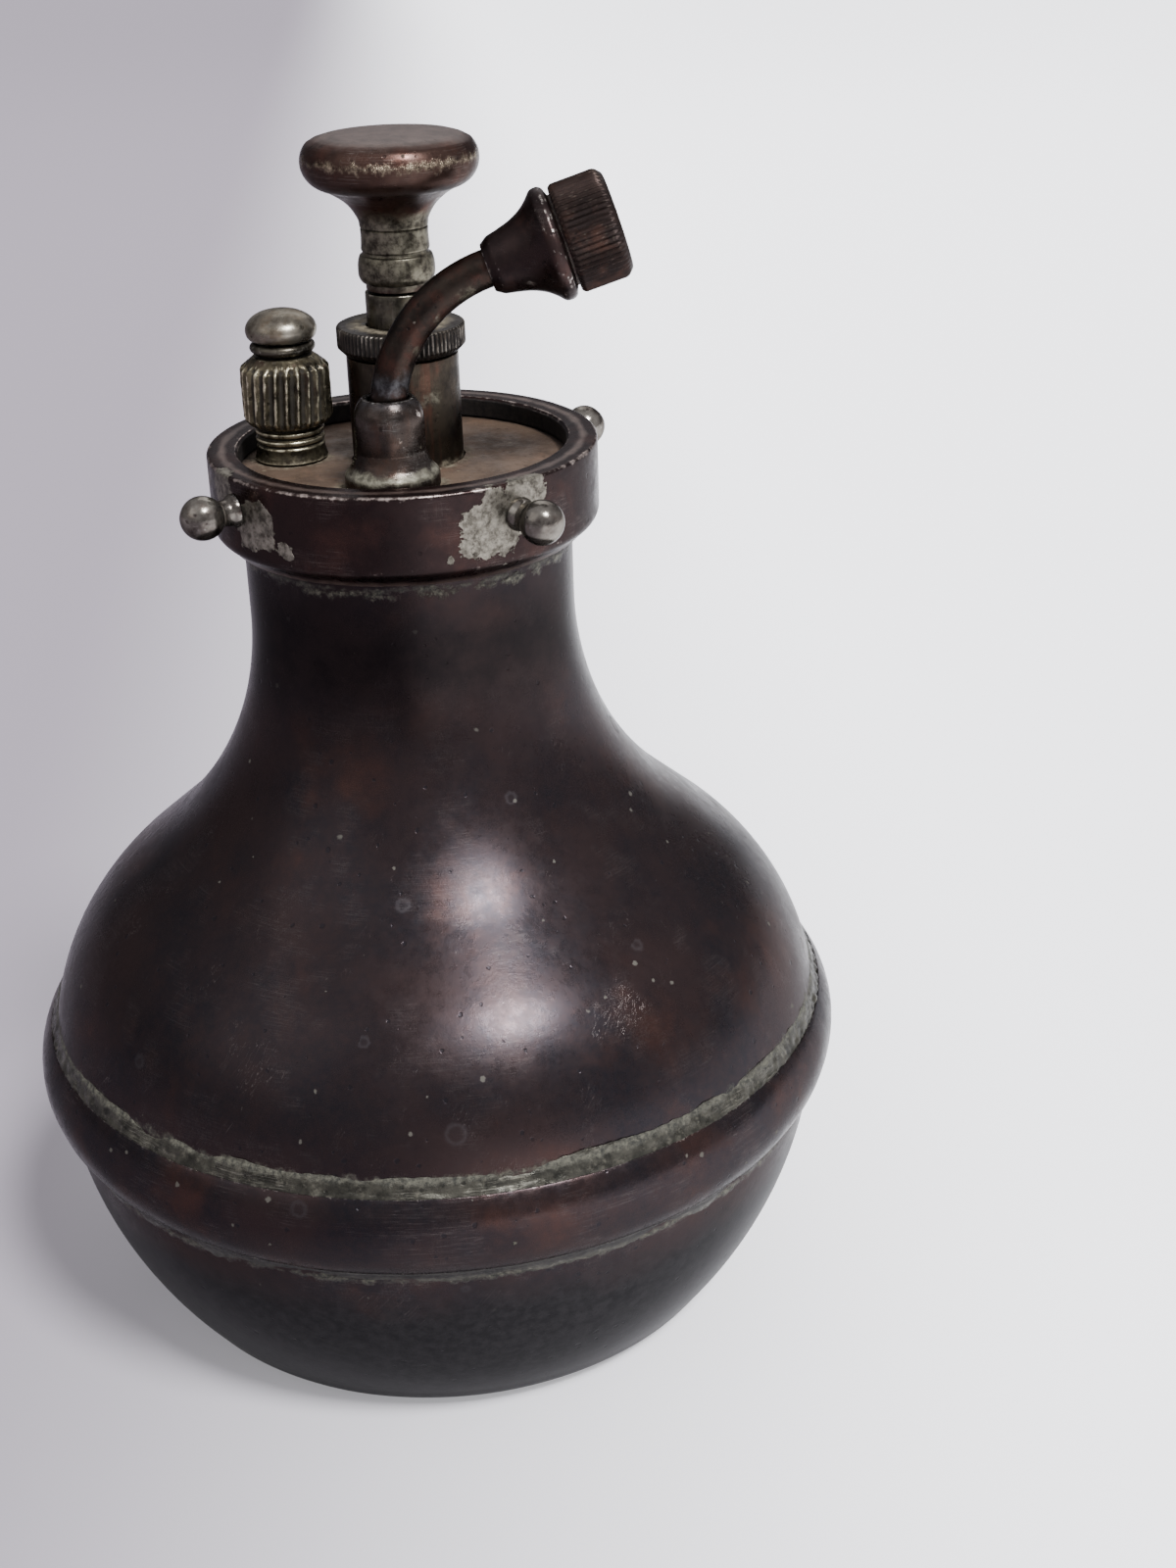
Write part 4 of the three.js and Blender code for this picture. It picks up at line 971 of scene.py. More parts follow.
@dataclass
class Vessel(Assembly):
    """The bowl, the shoulder shell, the band over their seam, its solder and the neck bush."""

    wall: float = 1.0
    semi_axis: float = 59.9
    fillet: float = 8.0
    shoulder: float = 35.4
    slope: float = 49.5
    cone: float = 8.67
    band_half: float = 6.0
    band_bulge: float = 2.15
    bush: Point = (19.8, 23.0)
    bush_top: float = 123.16
    steps: int = 176

    def bowl_side(self, inset: float) -> list[Point]:
        """The bowl's wall from the seam down to the flat, at an inset from the outside."""
        radial, axial = LAYOUT.belly - inset, self.semi_axis - inset
        last = math.asin((LAYOUT.seam - inset) / axial)
        fall = math.atan2(axial * math.cos(last), radial * math.sin(last))
        fillet = self.fillet - inset
        run = fillet * math.tan(fall / 2.0)
        clear = last - run / axial * 1.6
        turn = math.degrees(fall) - 90.0
        corner = arc(radial * math.cos(last) - run, inset + fillet, fillet, turn, -90.0, 8)
        angles = [clear * i / 24 for i in range(25)]
        side = [(radial * math.cos(a), LAYOUT.seam - axial * math.sin(a)) for a in angles]
        side[0] = (side[0][0], LAYOUT.seam - 0.15)
        return [p for p in side if p[1] > corner[0][1] + 0.5] + corner

    def shell_side(self, inset: float) -> list[Point]:
        """The shoulder and throat from the seam up to the neck's end."""
        slope = math.radians(self.slope)
        throat = ((LAYOUT.belly - LAYOUT.neck - self.cone * math.sin(slope))
                  / (1.0 - math.cos(slope)) - self.shoulder)
        throat_top = (LAYOUT.seam + (self.shoulder + throat) * math.sin(slope)
                      + self.cone * math.cos(slope))
        rise = arc(LAYOUT.belly - self.shoulder, LAYOUT.seam, self.shoulder - inset, 0.0,
                   self.slope, 22)
        rise[0] = (rise[0][0], LAYOUT.seam + 0.15)
        neck = arc(LAYOUT.neck + throat, throat_top, throat + inset, 180.0 + self.slope, 180.0,
                   22)
        return rise + neck + [(LAYOUT.neck - inset, LAYOUT.neck_top)]

    def build(self) -> None:
        """Builds and dresses the vessel's pieces."""
        bowl = [(0.0, 0.0)] + self.bowl_side(0.0)[::-1] + self.bowl_side(self.wall)
        bowl.append((0.0, self.wall))
        made = Turned(bowl, self.steps, 1.5).wobble(0.09, 17.0, 3.0)
        self.fit("spun_bowl", made.bm, "vessel", "dark_copper", "vessel", "lower_bowl")
        shell = self.shell_side(0.0) + self.shell_side(self.wall)[::-1]
        made = Turned(shell, self.steps, 1.5).wobble(0.12, 19.0, 8.0)
        self.fit("shoulder_shell", made.bm, "vessel", "dark_copper", "vessel", "upper_shell")
        self.build_band()
        self.build_bush()

    def build_band(self) -> None:
        """Builds the rolled band and the two beads of solder along its edges."""
        inner = LAYOUT.belly + 0.3
        radius = (self.band_half ** 2 + self.band_bulge ** 2) / (2.0 * self.band_bulge)
        sweep = math.degrees(math.asin(self.band_half / radius))
        face = arc(inner + self.band_bulge - radius, LAYOUT.seam, radius, -sweep, sweep, 20)
        face[0] = (*face[0], 0.25)
        face[-1] = (*face[-1], 0.25)
        made = Turned(face, 240, 0.8).wobble(0.07, 9.0, 5.0)
        self.fit("rolled_band", made.bm, "band", "dark_copper", "vessel", "belly_band")
        for name, height, inside, lift in (
            ("band_solder_upper", LAYOUT.seam + self.band_half + 0.15, 55.9, 1.0),
            ("band_solder_lower", LAYOUT.seam - self.band_half - 0.15, 56.2, -1.0),
        ):
            bead = [
                (inside, height - 0.85 * lift), (57.55, height - 0.85 * lift, 0.15),
                (57.4, height - 0.3 * lift, 0.4), (57.0, height + 0.3 * lift, 0.5),
                (56.7, height + 0.95 * lift, 0.5), (inside + 0.1, height + 2.1 * lift, 0.1),
            ]
            made = Turned(bead, 720, 0.22, 3)
            made.shift(self.ragged_bead(height))
            self.fit(name, made.bm, "solder", "dark_copper", "vessel", sharp=70.0)

    @staticmethod
    def ragged_bead(height: float) -> Rule:
        """The lumps of a bead of solder.

        Args:
            height: Height of the bead's middle.

        Returns:
            The rule that moves the bead's points.
        """
        def change(radius: float, angle: float, z: float) -> tuple[float, float]:
            """Swells and pinches the bead along its run."""
            spot = Vector((57 * math.cos(angle), 57 * math.sin(angle), z))
            slow = noise.noise(spot * 0.16)
            quick = noise.noise(spot * 0.9 + Vector((9, 0, 0)))
            grit = noise.noise(spot * 2.3 + Vector((0, 7, 0)))
            outer = smooth_step(radius, 56.3, 57.0)
            swell = outer * (0.2 * slow + 0.08 * quick + 0.05 * grit - 0.05)
            return radius + swell, height + (z - height) * (1.0 + 0.55 * slow) + 0.22 * quick
        return change

    def build_bush(self) -> None:
        """Builds the threaded bush in the neck."""
        inner, outer = self.bush
        seat = LAYOUT.neck_top + 0.3
        low = LAYOUT.neck_top - 7.0
        root = outer - 0.5
        pitch = (self.bush_top - 0.6 - seat) / 3.0
        crests = [
            point for i in range(3) for point in (
                (root, seat + i * pitch), (outer, seat + (i + 0.35) * pitch, 0.15),
                (outer, seat + (i + 0.55) * pitch, 0.15), (root, seat + (i + 0.9) * pitch),
            )
        ]
        outline = [(inner, low), (21.2, low), (21.2, seat)] + crests + [
            (root, self.bush_top, 0.3), (inner, self.bush_top, 0.3)]
        made = Turned(outline, 128, 1.0)
        self.fit("threaded_bush", made.bm, "brass", "yellow_brass", "vessel", "neck_bush")


@dataclass
class Collar(Assembly):
    """The screw-on collar and its four ball-ended studs."""

    bore: float = 23.3
    outer: float = 26.3
    lip_bore: float = 22.1
    edge: float = 1.9
    ball: float = 2.9
    neck: float = 1.7
    neck_length: float = 1.8

    def build(self) -> None:
        """Builds and dresses the collar's pieces."""
        low, high = LAYOUT.collar_bottom, LAYOUT.collar_top
        lip = LAYOUT.plate_top + 0.3
        corner = arc(self.outer - self.edge, low + 3.0, self.edge, -60.0, 0.0, 8)
        outline = [(self.bore, low), (self.bore + 0.7, low, 0.2)] + corner + [
            (self.outer, high, 0.45), (self.lip_bore + 0.35, high, 0.12),
            (self.lip_bore, high - 0.4, 0.12), (self.lip_bore, lip), (self.bore, lip),
        ]
        made = Turned(outline, 224, 0.7).wobble(0.03, 6.0, 4.0)
        self.fit("screw_collar", made.bm, "collar", "dark_copper", "collar", "collar_ring")
        for number in range(4):
            self.build_stud(number)

    def build_stud(self, number: int) -> None:
        """Builds one stud.

        Args:
            number: Which stud, counted from 0.
        """
        face = self.outer + 0.3
        centre = face + self.neck_length + self.ball * 0.9
        join = math.degrees(math.asin(self.neck / self.ball))
        ball = arc(0.0, centre, self.ball, join - 90.0, 90.0, 20)
        ball[0] = (*ball[0], 0.25)
        outline = [
            (0.0, self.outer - 1.6), (1.5, self.outer - 1.6), (1.5, face - 0.25),
            (self.neck + 0.55, face - 0.25, 0.15), (self.neck + 0.4, face + 0.35, 0.3),
            (self.neck, face + 0.9, 0.4),
        ] + ball[:-1] + [(0.0, centre + self.ball)]
        made = Turned(outline, 64, 0.4).wobble(0.05, 2.5, 10.0 + number)
        turn = (Matrix.Translation((0.0, 0.0, LAYOUT.stud_height * MM))
                @ Matrix.Rotation(math.radians(LAYOUT.stud_angle + 90.0 * number), 4, "Z")
                @ Matrix.Rotation(math.pi / 2.0, 4, "Y"))
        made.place(turn)
        self.fit(f"ball_stud_{number + 1}", made.bm, "stud", "worn_nickel", "collar",
                 f"collar_stud_{number + 1}")


@dataclass
class Pump(Assembly):
    """The air pump: barrel, gland cap, knob, rod and foot valve."""

    radius: float = 7.5
    bore: float = 6.4
    top: float = 140.76
    bottom: float = 30.96
    guide: float = 5.0
    guide_top: float = 131.26
    cap_radius: float = 8.57
    cap_bottom: float = 141.06
    cap_top: float = 144.66
    cap_teeth: int = 76
    cap_depth: float = 0.3
    rod: float = 4.4
    tail: float = 1.8
    rod_end: float = 38.26
    knob_bottom: float = 149.01

    def build(self) -> None:
        """Builds and dresses the pump's pieces."""
        guide_low = self.guide_top - 2.0
        made = Turned([
            (self.bore, self.bottom), (self.radius, self.bottom, 0.2),
            (self.radius, self.top, 0.15), (self.bore, self.top),
            (self.bore, self.guide_top), (self.guide, self.guide_top),
            (self.guide, guide_low), (self.bore, guide_low),
        ], 96, 1.2)
        self.fit("air_barrel", made.at(*LAYOUT.pump).bm, "barrel", "bronzed_brass", "head",
                 "pump_barrel")
        self.build_cap()
        self.build_knob()
        self.build_rod()
        self.build_foot()

    def build_cap(self) -> None:
        """Builds the finely toothed gland cap."""
        knurl = self.cap_bottom + 0.9
        made = Turned([
            (4.5, 134.46), (6.1, 134.46, 0.2), (6.1, self.cap_bottom),
            (7.7, self.cap_bottom, 0.12), (self.cap_radius, knurl, 0.1),
            (self.cap_radius, self.cap_top, 0.32), (4.5, self.cap_top, 0.2),
        ], self.cap_teeth * 6, 0.5, 3)

        def tooth(radius: float, angle: float, z: float) -> tuple[float, float]:
            """Cuts the teeth into the rim."""
            if radius < 7.9 or z < self.cap_bottom:
                return radius, z
            wave = 0.5 - 0.5 * math.cos(angle * self.cap_teeth)
            depth = self.cap_depth * smooth_step(radius, 8.1, 8.45)
            worn = 0.75 + 0.35 * noise.noise(Vector((math.cos(angle) * 4, math.sin(angle) * 4, z)))
            return radius - depth * wave * worn, z

        self.fit("toothed_gland_cap", made.shift(tooth).at(*LAYOUT.pump).bm, "gland",
                 "bronzed_brass", "gland", "gland_cap", sharp=50.0)

    def build_knob(self) -> None:
        """Builds the turned knob."""
        low = self.knob_bottom + 0.3
        rim = arc(8.2, 165.75, 3.4, -78.0, 44.0, 22)
        outline = [
            (3.3, low), (4.15, low, 0.1), (4.15, 150.15), (4.6, 150.3, 0.15),
            (5.02, 150.9, 0.35), (5.13, 152.0, 0.6), (5.0, 153.1, 0.35), (4.75, 153.8, 0.12),
            (4.42, 153.95, 0.05), (4.34, 154.25, 0.05), (4.52, 154.5, 0.15), (4.46, 155.4),
            (4.42, 156.4), (4.46, 157.15, 0.05), (4.34, 157.3), (4.48, 157.45, 0.05),
            (4.56, 158.2), (4.95, 159.2, 0.9), (6.0, 160.55, 1.0), (7.25, 161.5, 0.8),
        ] + rim + [
            (9.75, 168.6), (8.7, 168.88), (7.3, 169.06), (5.5, 169.17), (3.5, 169.23),
            (1.6, 169.27), (0.0, 169.28),
            (0.0, 155.8), (3.3, 155.8),
        ]
        made = Turned(outline, 160, 0.45).wobble(0.05, 4.5, 20.0)
        self.fit("turned_knob", made.at(*LAYOUT.pump).bm, "knob", "bronzed_brass", "plunger",
                 "plunger_knob")

    def build_rod(self) -> None:
        """Builds the plunger rod."""
        seat = self.rod_end + 11.6
        made = Turned([
            (0.0, self.rod_end), (self.tail, self.rod_end, 0.3), (self.tail, seat),
            (self.rod, seat, 0.3), (self.rod, self.knob_bottom, 0.15),
            (3.0, self.knob_bottom), (3.0, 155.5, 0.2), (0.0, 155.5),
        ], 80, 1.0)
        self.fit("plunger_stem", made.at(*LAYOUT.pump).bm, "rod", "worn_nickel", "plunger",
                 "plunger_rod")

    def build_foot(self) -> None:
        """Builds the foot valve's body."""
        foot_top, low = 37.96, 28.56
        seat = foot_top - 1.6
        made = Turned([
            (3.0, low), (self.radius, low, 0.3), (self.radius, self.bottom - 0.3, 0.15),
            (6.1, self.bottom - 0.3), (6.1, foot_top, 0.3), (1.5, foot_top, 0.2),
            (1.5, seat), (3.0, seat - 1.6),
        ], 96, 0.8)
        self.fit("foot_valve_seat", made.at(*LAYOUT.pump).bm, "brass", "yellow_brass", "head",
                 "foot_valve_body")


@dataclass
class ReliefValve(Assembly):
    """The relief valve: threaded stub, fluted nut, washer and domed button."""

    thread: float = 4.7
    bore: float = 3.2
    nut: float = 6.05
    nut_low: float = 131.56
    nut_high: float = 140.76
    flutes: int = 24
    flute_depth: float = 0.62
    twist: float = 0.1
    stem: float = 1.2

    def build(self) -> None:
        """Builds and dresses the valve's pieces."""
        self.build_stub()
        self.build_nut()
        self.build_button()

    def build_stub(self) -> None:
        """Builds the stub with its thread."""
        seat = LAYOUT.plate_top + 0.3
        root = self.thread - 0.42
        start, pitch = seat + 2.2, 1.12
        crests = [
            point for i in range(3) for point in (
                (root, start + i * pitch, 0.12), (self.thread, start + (i + 0.3) * pitch, 0.16),
                (self.thread, start + (i + 0.66) * pitch, 0.16),
                (root, start + (i + 0.92) * pitch, 0.12),
            )
        ]
        outline = [
            (self.bore, 123.66), (3.9, 123.66, 0.1), (3.9, seat), (5.0, seat, 0.1),
            (4.85, seat + 0.5, 0.3), (4.62, seat + 1.1, 0.3), (4.62, seat + 1.95, 0.2),
        ] + crests + [
            (root, 138.16, 0.2), (self.bore, 138.16), (self.bore, 135.76), (1.6, 135.76),
            (1.6, 134.26), (self.bore, 134.26),
        ]
        made = Turned(outline, 96, 0.5)
        self.fit("valve_stub", made.at(*LAYOUT.relief).bm, "nut", "worn_nickel", "head",
                 "relief_stub")

    def build_nut(self) -> None:
        """Builds the nut with its leaning flutes."""
        made = Turned([
            (5.0, self.nut_low), (5.3, self.nut_low, 0.12), (self.nut, self.nut_low + 0.85, 0.2),
            (self.nut, self.nut_high - 1.6, 0.2), (self.nut - 2.0, self.nut_high, 0.2),
            (1.6, self.nut_high), (1.6, 138.46), (5.0, 138.46),
        ], self.flutes * 12, 0.4, 3)
        tall = self.nut_high - self.nut_low

        def flute(radius: float, angle: float, z: float) -> tuple[float, float]:
            """Cuts the flutes, which run out on the chamfer."""
            if radius < 4.2:
                return radius, z
            lean = self.twist * (z - self.nut_low) / tall
            around = Vector((math.cos(angle) * 3, math.sin(angle) * 3, z * 0.15))
            wander = 0.16 * noise.noise(around)
            wave = 0.5 - 0.5 * math.cos((angle - lean) * self.flutes + wander)
            depth = self.flute_depth * smooth_step(radius, self.nut - 0.95, self.nut - 0.2)
            depth *= 1.0 - 0.4 * smooth_step(z, self.nut_low + 1.3, self.nut_low + 0.4)
            spot = Vector((math.cos(angle) * 6, math.sin(angle) * 6, z * 0.8))
            eaten = 0.13 * abs(noise.noise(spot)) + 0.07 * abs(noise.noise(spot * 2.3))
            return radius - depth * wave ** 0.8 - eaten, z

        self.fit("fluted_nut", made.shift(flute).at(*LAYOUT.relief).bm, "nut", "worn_nickel",
                 "relief_cap", "relief_nut", sharp=60.0)

    def build_button(self) -> None:
        """Builds the washer ring and the domed button on its stem."""
        low = self.nut_high + 0.3
        made = Turned([
            (1.5, low), (3.8, low, 0.15), (4.4, low + 0.5, 0.3), (4.4, low + 1.1, 0.3),
            (3.9, low + 1.5, 0.15), (1.5, low + 1.5),
        ], 80, 0.4)
        self.fit("valve_washer", made.at(*LAYOUT.relief).bm, "washer", "rubber", "relief_stem",
                 "relief_washer")
        under = low + 1.8
        dome = [(4.8 * math.cos(a), under + 1.3 + 2.7 * math.sin(a))
                for a in (math.pi / 2.0 * i / 16 for i in range(16))]
        made = Turned([
            (0.0, 121.46), (self.stem, 121.46, 0.2), (self.stem, under), (4.2, under, 0.2),
            (4.55, under + 0.35, 0.25), (4.78, under + 0.95, 0.3),
        ] + dome + [(0.0, under + 4.0)], 96, 0.5).wobble(0.05, 3.0, 30.0)
        self.fit("domed_button", made.at(*LAYOUT.relief).bm, "nickel", "worn_nickel",
                 "relief_stem", "relief_button")


@dataclass
class Outlet(Assembly):
    """The outlet boss, the dip tube and its strainer."""

    hole: float = 2.8
    mouth: float = 2.75
    low: float = 126.76
    top: float = 138.46

    def build(self) -> None:
        """Builds and dresses the outlet's pieces."""
        made = Turned([
            (self.hole, self.low), (6.2, self.low, 0.15), (6.2, 128.7, 0.5),
            (5.45, 129.35, 0.5), (4.75, 130.6, 0.9), (4.56, 131.6, 1.0), (4.56, 135.9, 1.1),
            (4.28, 137.2, 0.7), (3.5, 138.3, 0.4), (3.25, self.top, 0.1),
            (self.mouth + 0.1, self.top, 0.1), (self.mouth, 138.1), (self.mouth, 136.56),
            (3.6, 136.56), (3.6, 129.66), (self.hole, 129.66),
        ], 112, 0.45).wobble(0.04, 3.5, 40.0)
        self.fit("bell_boss", made.at(*LAYOUT.outlet).bm, "boss", "worn_nickel", "head",
                 "outlet_boss")
        made = Turned([
            (1.7, 9.0), (2.5, 9.0, 0.15), (2.5, 129.66), (1.7, 129.66),
        ], 48, 1.5)
        self.fit("suction_tube", made.at(*LAYOUT.outlet).bm, "brass", "yellow_brass", "head",
                 "dip_tube")
        made = Turned([
            (0.0, 6.0), (3.4, 6.0, 0.4), (3.4, 12.0, 0.3), (2.8, 12.0), (2.8, 11.4),
            (2.8, 6.6), (0.0, 6.6),
        ], 72, 0.3)

        def weave(radius: float, angle: float, z: float) -> tuple[float, float]:
            """Presses the gauze's grid into the wall."""
            if radius < 3.2 or not 6.6 < z < 11.3:
                return radius, z
            grid = math.cos(angle * 18) * math.cos(z * 5.2)
            return radius - 0.12 * max(0.0, grid), z

        self.fit("gauze_strainer", made.shift(weave).at(*LAYOUT.outlet).bm, "brass",
                 "yellow_brass", "head", "dip_strainer")


@dataclass
class Spout(Assembly):
    """The bent pipe, the flared nozzle and its toothed cap."""

    radius: float = 2.4
    bend: float = 19.4
    bend_low: float = 135.66
    pipe_end: float = 129.96
    rise: float = 17.4
    socket: float = 4.4
    back: float = 0.8
    cap_teeth: int = 56
    cap_depth: float = 0.26

    def build(self) -> None:
        """Builds and dresses the spout's pieces."""
        self.build_pipe()
        self.build_cone()
        self.build_cap()

    def build_pipe(self) -> None:
        """Builds the pipe: a circle drawn up, swung round the bend and drawn on."""
        x, y = LAYOUT.outlet
        bm = bmesh.new()
        bmesh.ops.create_circle(
            bm, cap_ends=False, radius=self.radius * MM, segments=56,
            matrix=Matrix.Translation((x * MM, y * MM, self.pipe_end * MM)),
        )
        edges = bm.edges[:]
        rise = (self.bend_low - self.pipe_end) * MM
        edges = self.draw(bm, edges, Vector((0.0, 0.0, rise / 8.0)), 8)
        turn = math.radians(90.0 - self.rise)
        swung = bmesh.ops.spin(
            bm, geom=edges + list({v for e in edges for v in e.verts}),
            cent=((x + self.bend) * MM, y * MM, self.bend_low * MM), axis=(0, 1, 0),
            dvec=(0, 0, 0), angle=turn, steps=44, use_merge=False, use_normal_flip=False,
            use_duplicate=False,
        )
        edges = [e for e in swung["geom_last"] if isinstance(e, bmesh.types.BMEdge)]
        a = math.radians(self.rise)
        along = Vector((math.cos(a), 0.0, math.sin(a)))
        self.draw(bm, edges, along * (self.socket * MM / 6.0), 6)
        close_ends(bm)
        self.fit("bent_pipe", bm, "pipe", "bronzed_brass", "spout", "spout_tube", sharp=50.0)

    @staticmethod
    def draw(bm: Any, edges: list[Any], step: Vector, count: int) -> list[Any]:
        """Draws a ring of edges on, several steps in a row.

        Args:
            bm: The mesh.
            edges: The ring.
            step: One step.
            count: Number of steps.

        Returns:
            The ring at the far end.
        """
        for _ in range(count):
            made = bmesh.ops.extrude_edge_only(bm, edges=edges)["geom"]
            ring = [v for v in made if isinstance(v, bmesh.types.BMVert)]
            bmesh.ops.translate(bm, vec=step, verts=ring)
            edges = [e for e in made if isinstance(e, bmesh.types.BMEdge)
                     and e.verts[0] in ring and e.verts[1] in ring]
        return edges

    def along_nozzle(self) -> Matrix:
        """The place of the nozzle's small end, with +Z laid along its axis."""
        x, y = LAYOUT.outlet
        turn = math.radians(90.0 - self.rise)
        a = math.radians(self.rise)
        start = Vector((
            x + self.bend * (1.0 - math.cos(turn)) + self.back * math.cos(a), y,
            self.bend_low + self.bend * math.sin(turn) + self.back * math.sin(a),
        ))
        return Matrix.Translation(start * MM) @ Matrix.Rotation(turn, 4, "Y")

    def build_cone(self) -> None:
        """Builds the flared nozzle."""
        made = Turned([
            (2.65, -0.8), (3.0, -0.8, 0.15), (3.35, -0.25, 0.2), (3.72, 0.25, 0.3),
            (4.15, 2.4, 1.0), (4.75, 4.3, 1.0), (5.85, 6.05, 0.9), (7.05, 7.15, 0.25),
            (7.2, 7.6, 0.2), (7.2, 8.3, 0.2), (6.85, 8.8, 0.15), (5.8, 9.2), (5.8, 13.4),
            (4.4, 13.4), (4.4, 8.8), (1.6, 6.4), (1.6, 3.9), (2.7, 3.9), (2.7, 0.0),
        ], 120, 0.5).wobble(0.04, 4.0, 50.0)
        self.fit("flared_nozzle", made.place(self.along_nozzle()).bm, "nozzle", "bronzed_brass",
                 "spout", "nozzle_cone")

    def build_cap(self) -> None:
        """Builds the toothed spray cap."""
        made = Turned([
            (6.1, 9.5), (6.6, 9.5, 0.12), (6.95, 9.95, 0.15), (6.95, 15.6, 0.35),
            (6.05, 16.5, 0.25), (3.0, 16.5, 0.2), (1.4, 15.0), (6.1, 15.0),
        ], self.cap_teeth * 6, 0.45, 3)

        def tooth(radius: float, angle: float, z: float) -> tuple[float, float]:
            """Cuts the teeth into the rim."""
            if radius < 6.3:
                return radius, z
            wave = 0.5 - 0.5 * math.cos(angle * self.cap_teeth)
            return radius - self.cap_depth * smooth_step(radius, 6.5, 6.85) * wave, z

        self.fit("toothed_spray_cap", made.shift(tooth).place(self.along_nozzle()).bm, "spray_cap",
                 "bronzed_brass", "spray_cap", "nozzle_cap", sharp=50.0)


@dataclass
class Springs(Assembly):
    """The two wire springs."""

    facets: int = 12
    steps: int = 32

    def build(self) -> None:
        """Builds and dresses both springs."""
        self.coil("relief_coil_spring", "relief_spring", "relief_lift", LAYOUT.relief,
                  (0.35, 2.3, 2.0), 4, True)
        self.coil("foot_coil_spring", "foot_valve_spring", "foot_ball_drop", LAYOUT.pump,
                  (0.25, 1.6, 1.2), 2, False)

    def coil(self, name: str, node: str, joint: str, centre: Point, sizes: Point, turns: int,
             held_high: bool) -> None:
        """Builds one spring: a ring of wire, screwed up its axis.

        Args:
            name: Name of the piece.
            node: The CAD node that it stands for.
            joint: The spring's joint; not used.
            centre: The axis's place, in millimetres.
            sizes: Wire radius, coil radius and travel, in millimetres.
            turns: Number of turns.
            held_high: True where the upper end stays and the lower end moves; not used.
        """
        wire, radius, travel = (size * MM for size in sizes)
        x, y = centre[0] * MM, centre[1] * MM
        low, high = (corner[2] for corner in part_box(node))
        bottom, tall = low + wire, high - low - 2.0 * wire
        bm = bmesh.new()
        bmesh.ops.create_circle(
            bm, cap_ends=False, radius=wire, segments=self.facets,
            matrix=Matrix.Translation((x + radius, y, bottom))
            @ Matrix.Rotation(math.pi / 2.0, 4, "X"),
        )
        steps = self.steps * turns
        bmesh.ops.spin(
            bm, geom=bm.verts[:] + bm.edges[:], cent=(x, y, 0.0), axis=(0, 0, 1),
            dvec=(0, 0, tall / steps), angle=FULL_TURN * turns, steps=steps,
            use_merge=False, use_normal_flip=False, use_duplicate=False,
        )
        close_ends(bm)
        piece = self.fit(name, bm, "steel", "steel", "head", node, sharp=50.0)
        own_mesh(piece)


def dress_nodes(finishes: Finishes) -> None:
    """Gives the CAD nodes that stay their own materials.

    Args:
        finishes: The materials.
    """
    wanted = {
        "plate": "head_plate", "rubber": "head_gasket", "felt": "gland_packing",
        "leather": "piston_cup", "steel": "foot_valve_ball",
        "brass": "piston_back_plate piston_spreader piston_nut foot_valve_cage "
                 "relief_stem_nut spout_ring swirl_core spray_disc",
    }
    for finish, names in wanted.items():
        material = getattr(finishes, finish)
        for name in names.split():
            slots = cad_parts[name].data.materials
            slots.clear()
            slots.append(material)
            LOG.info("%s: CAD piece, %s", name, material.name)


# ------------------------------------------------------------------ room, light and camera


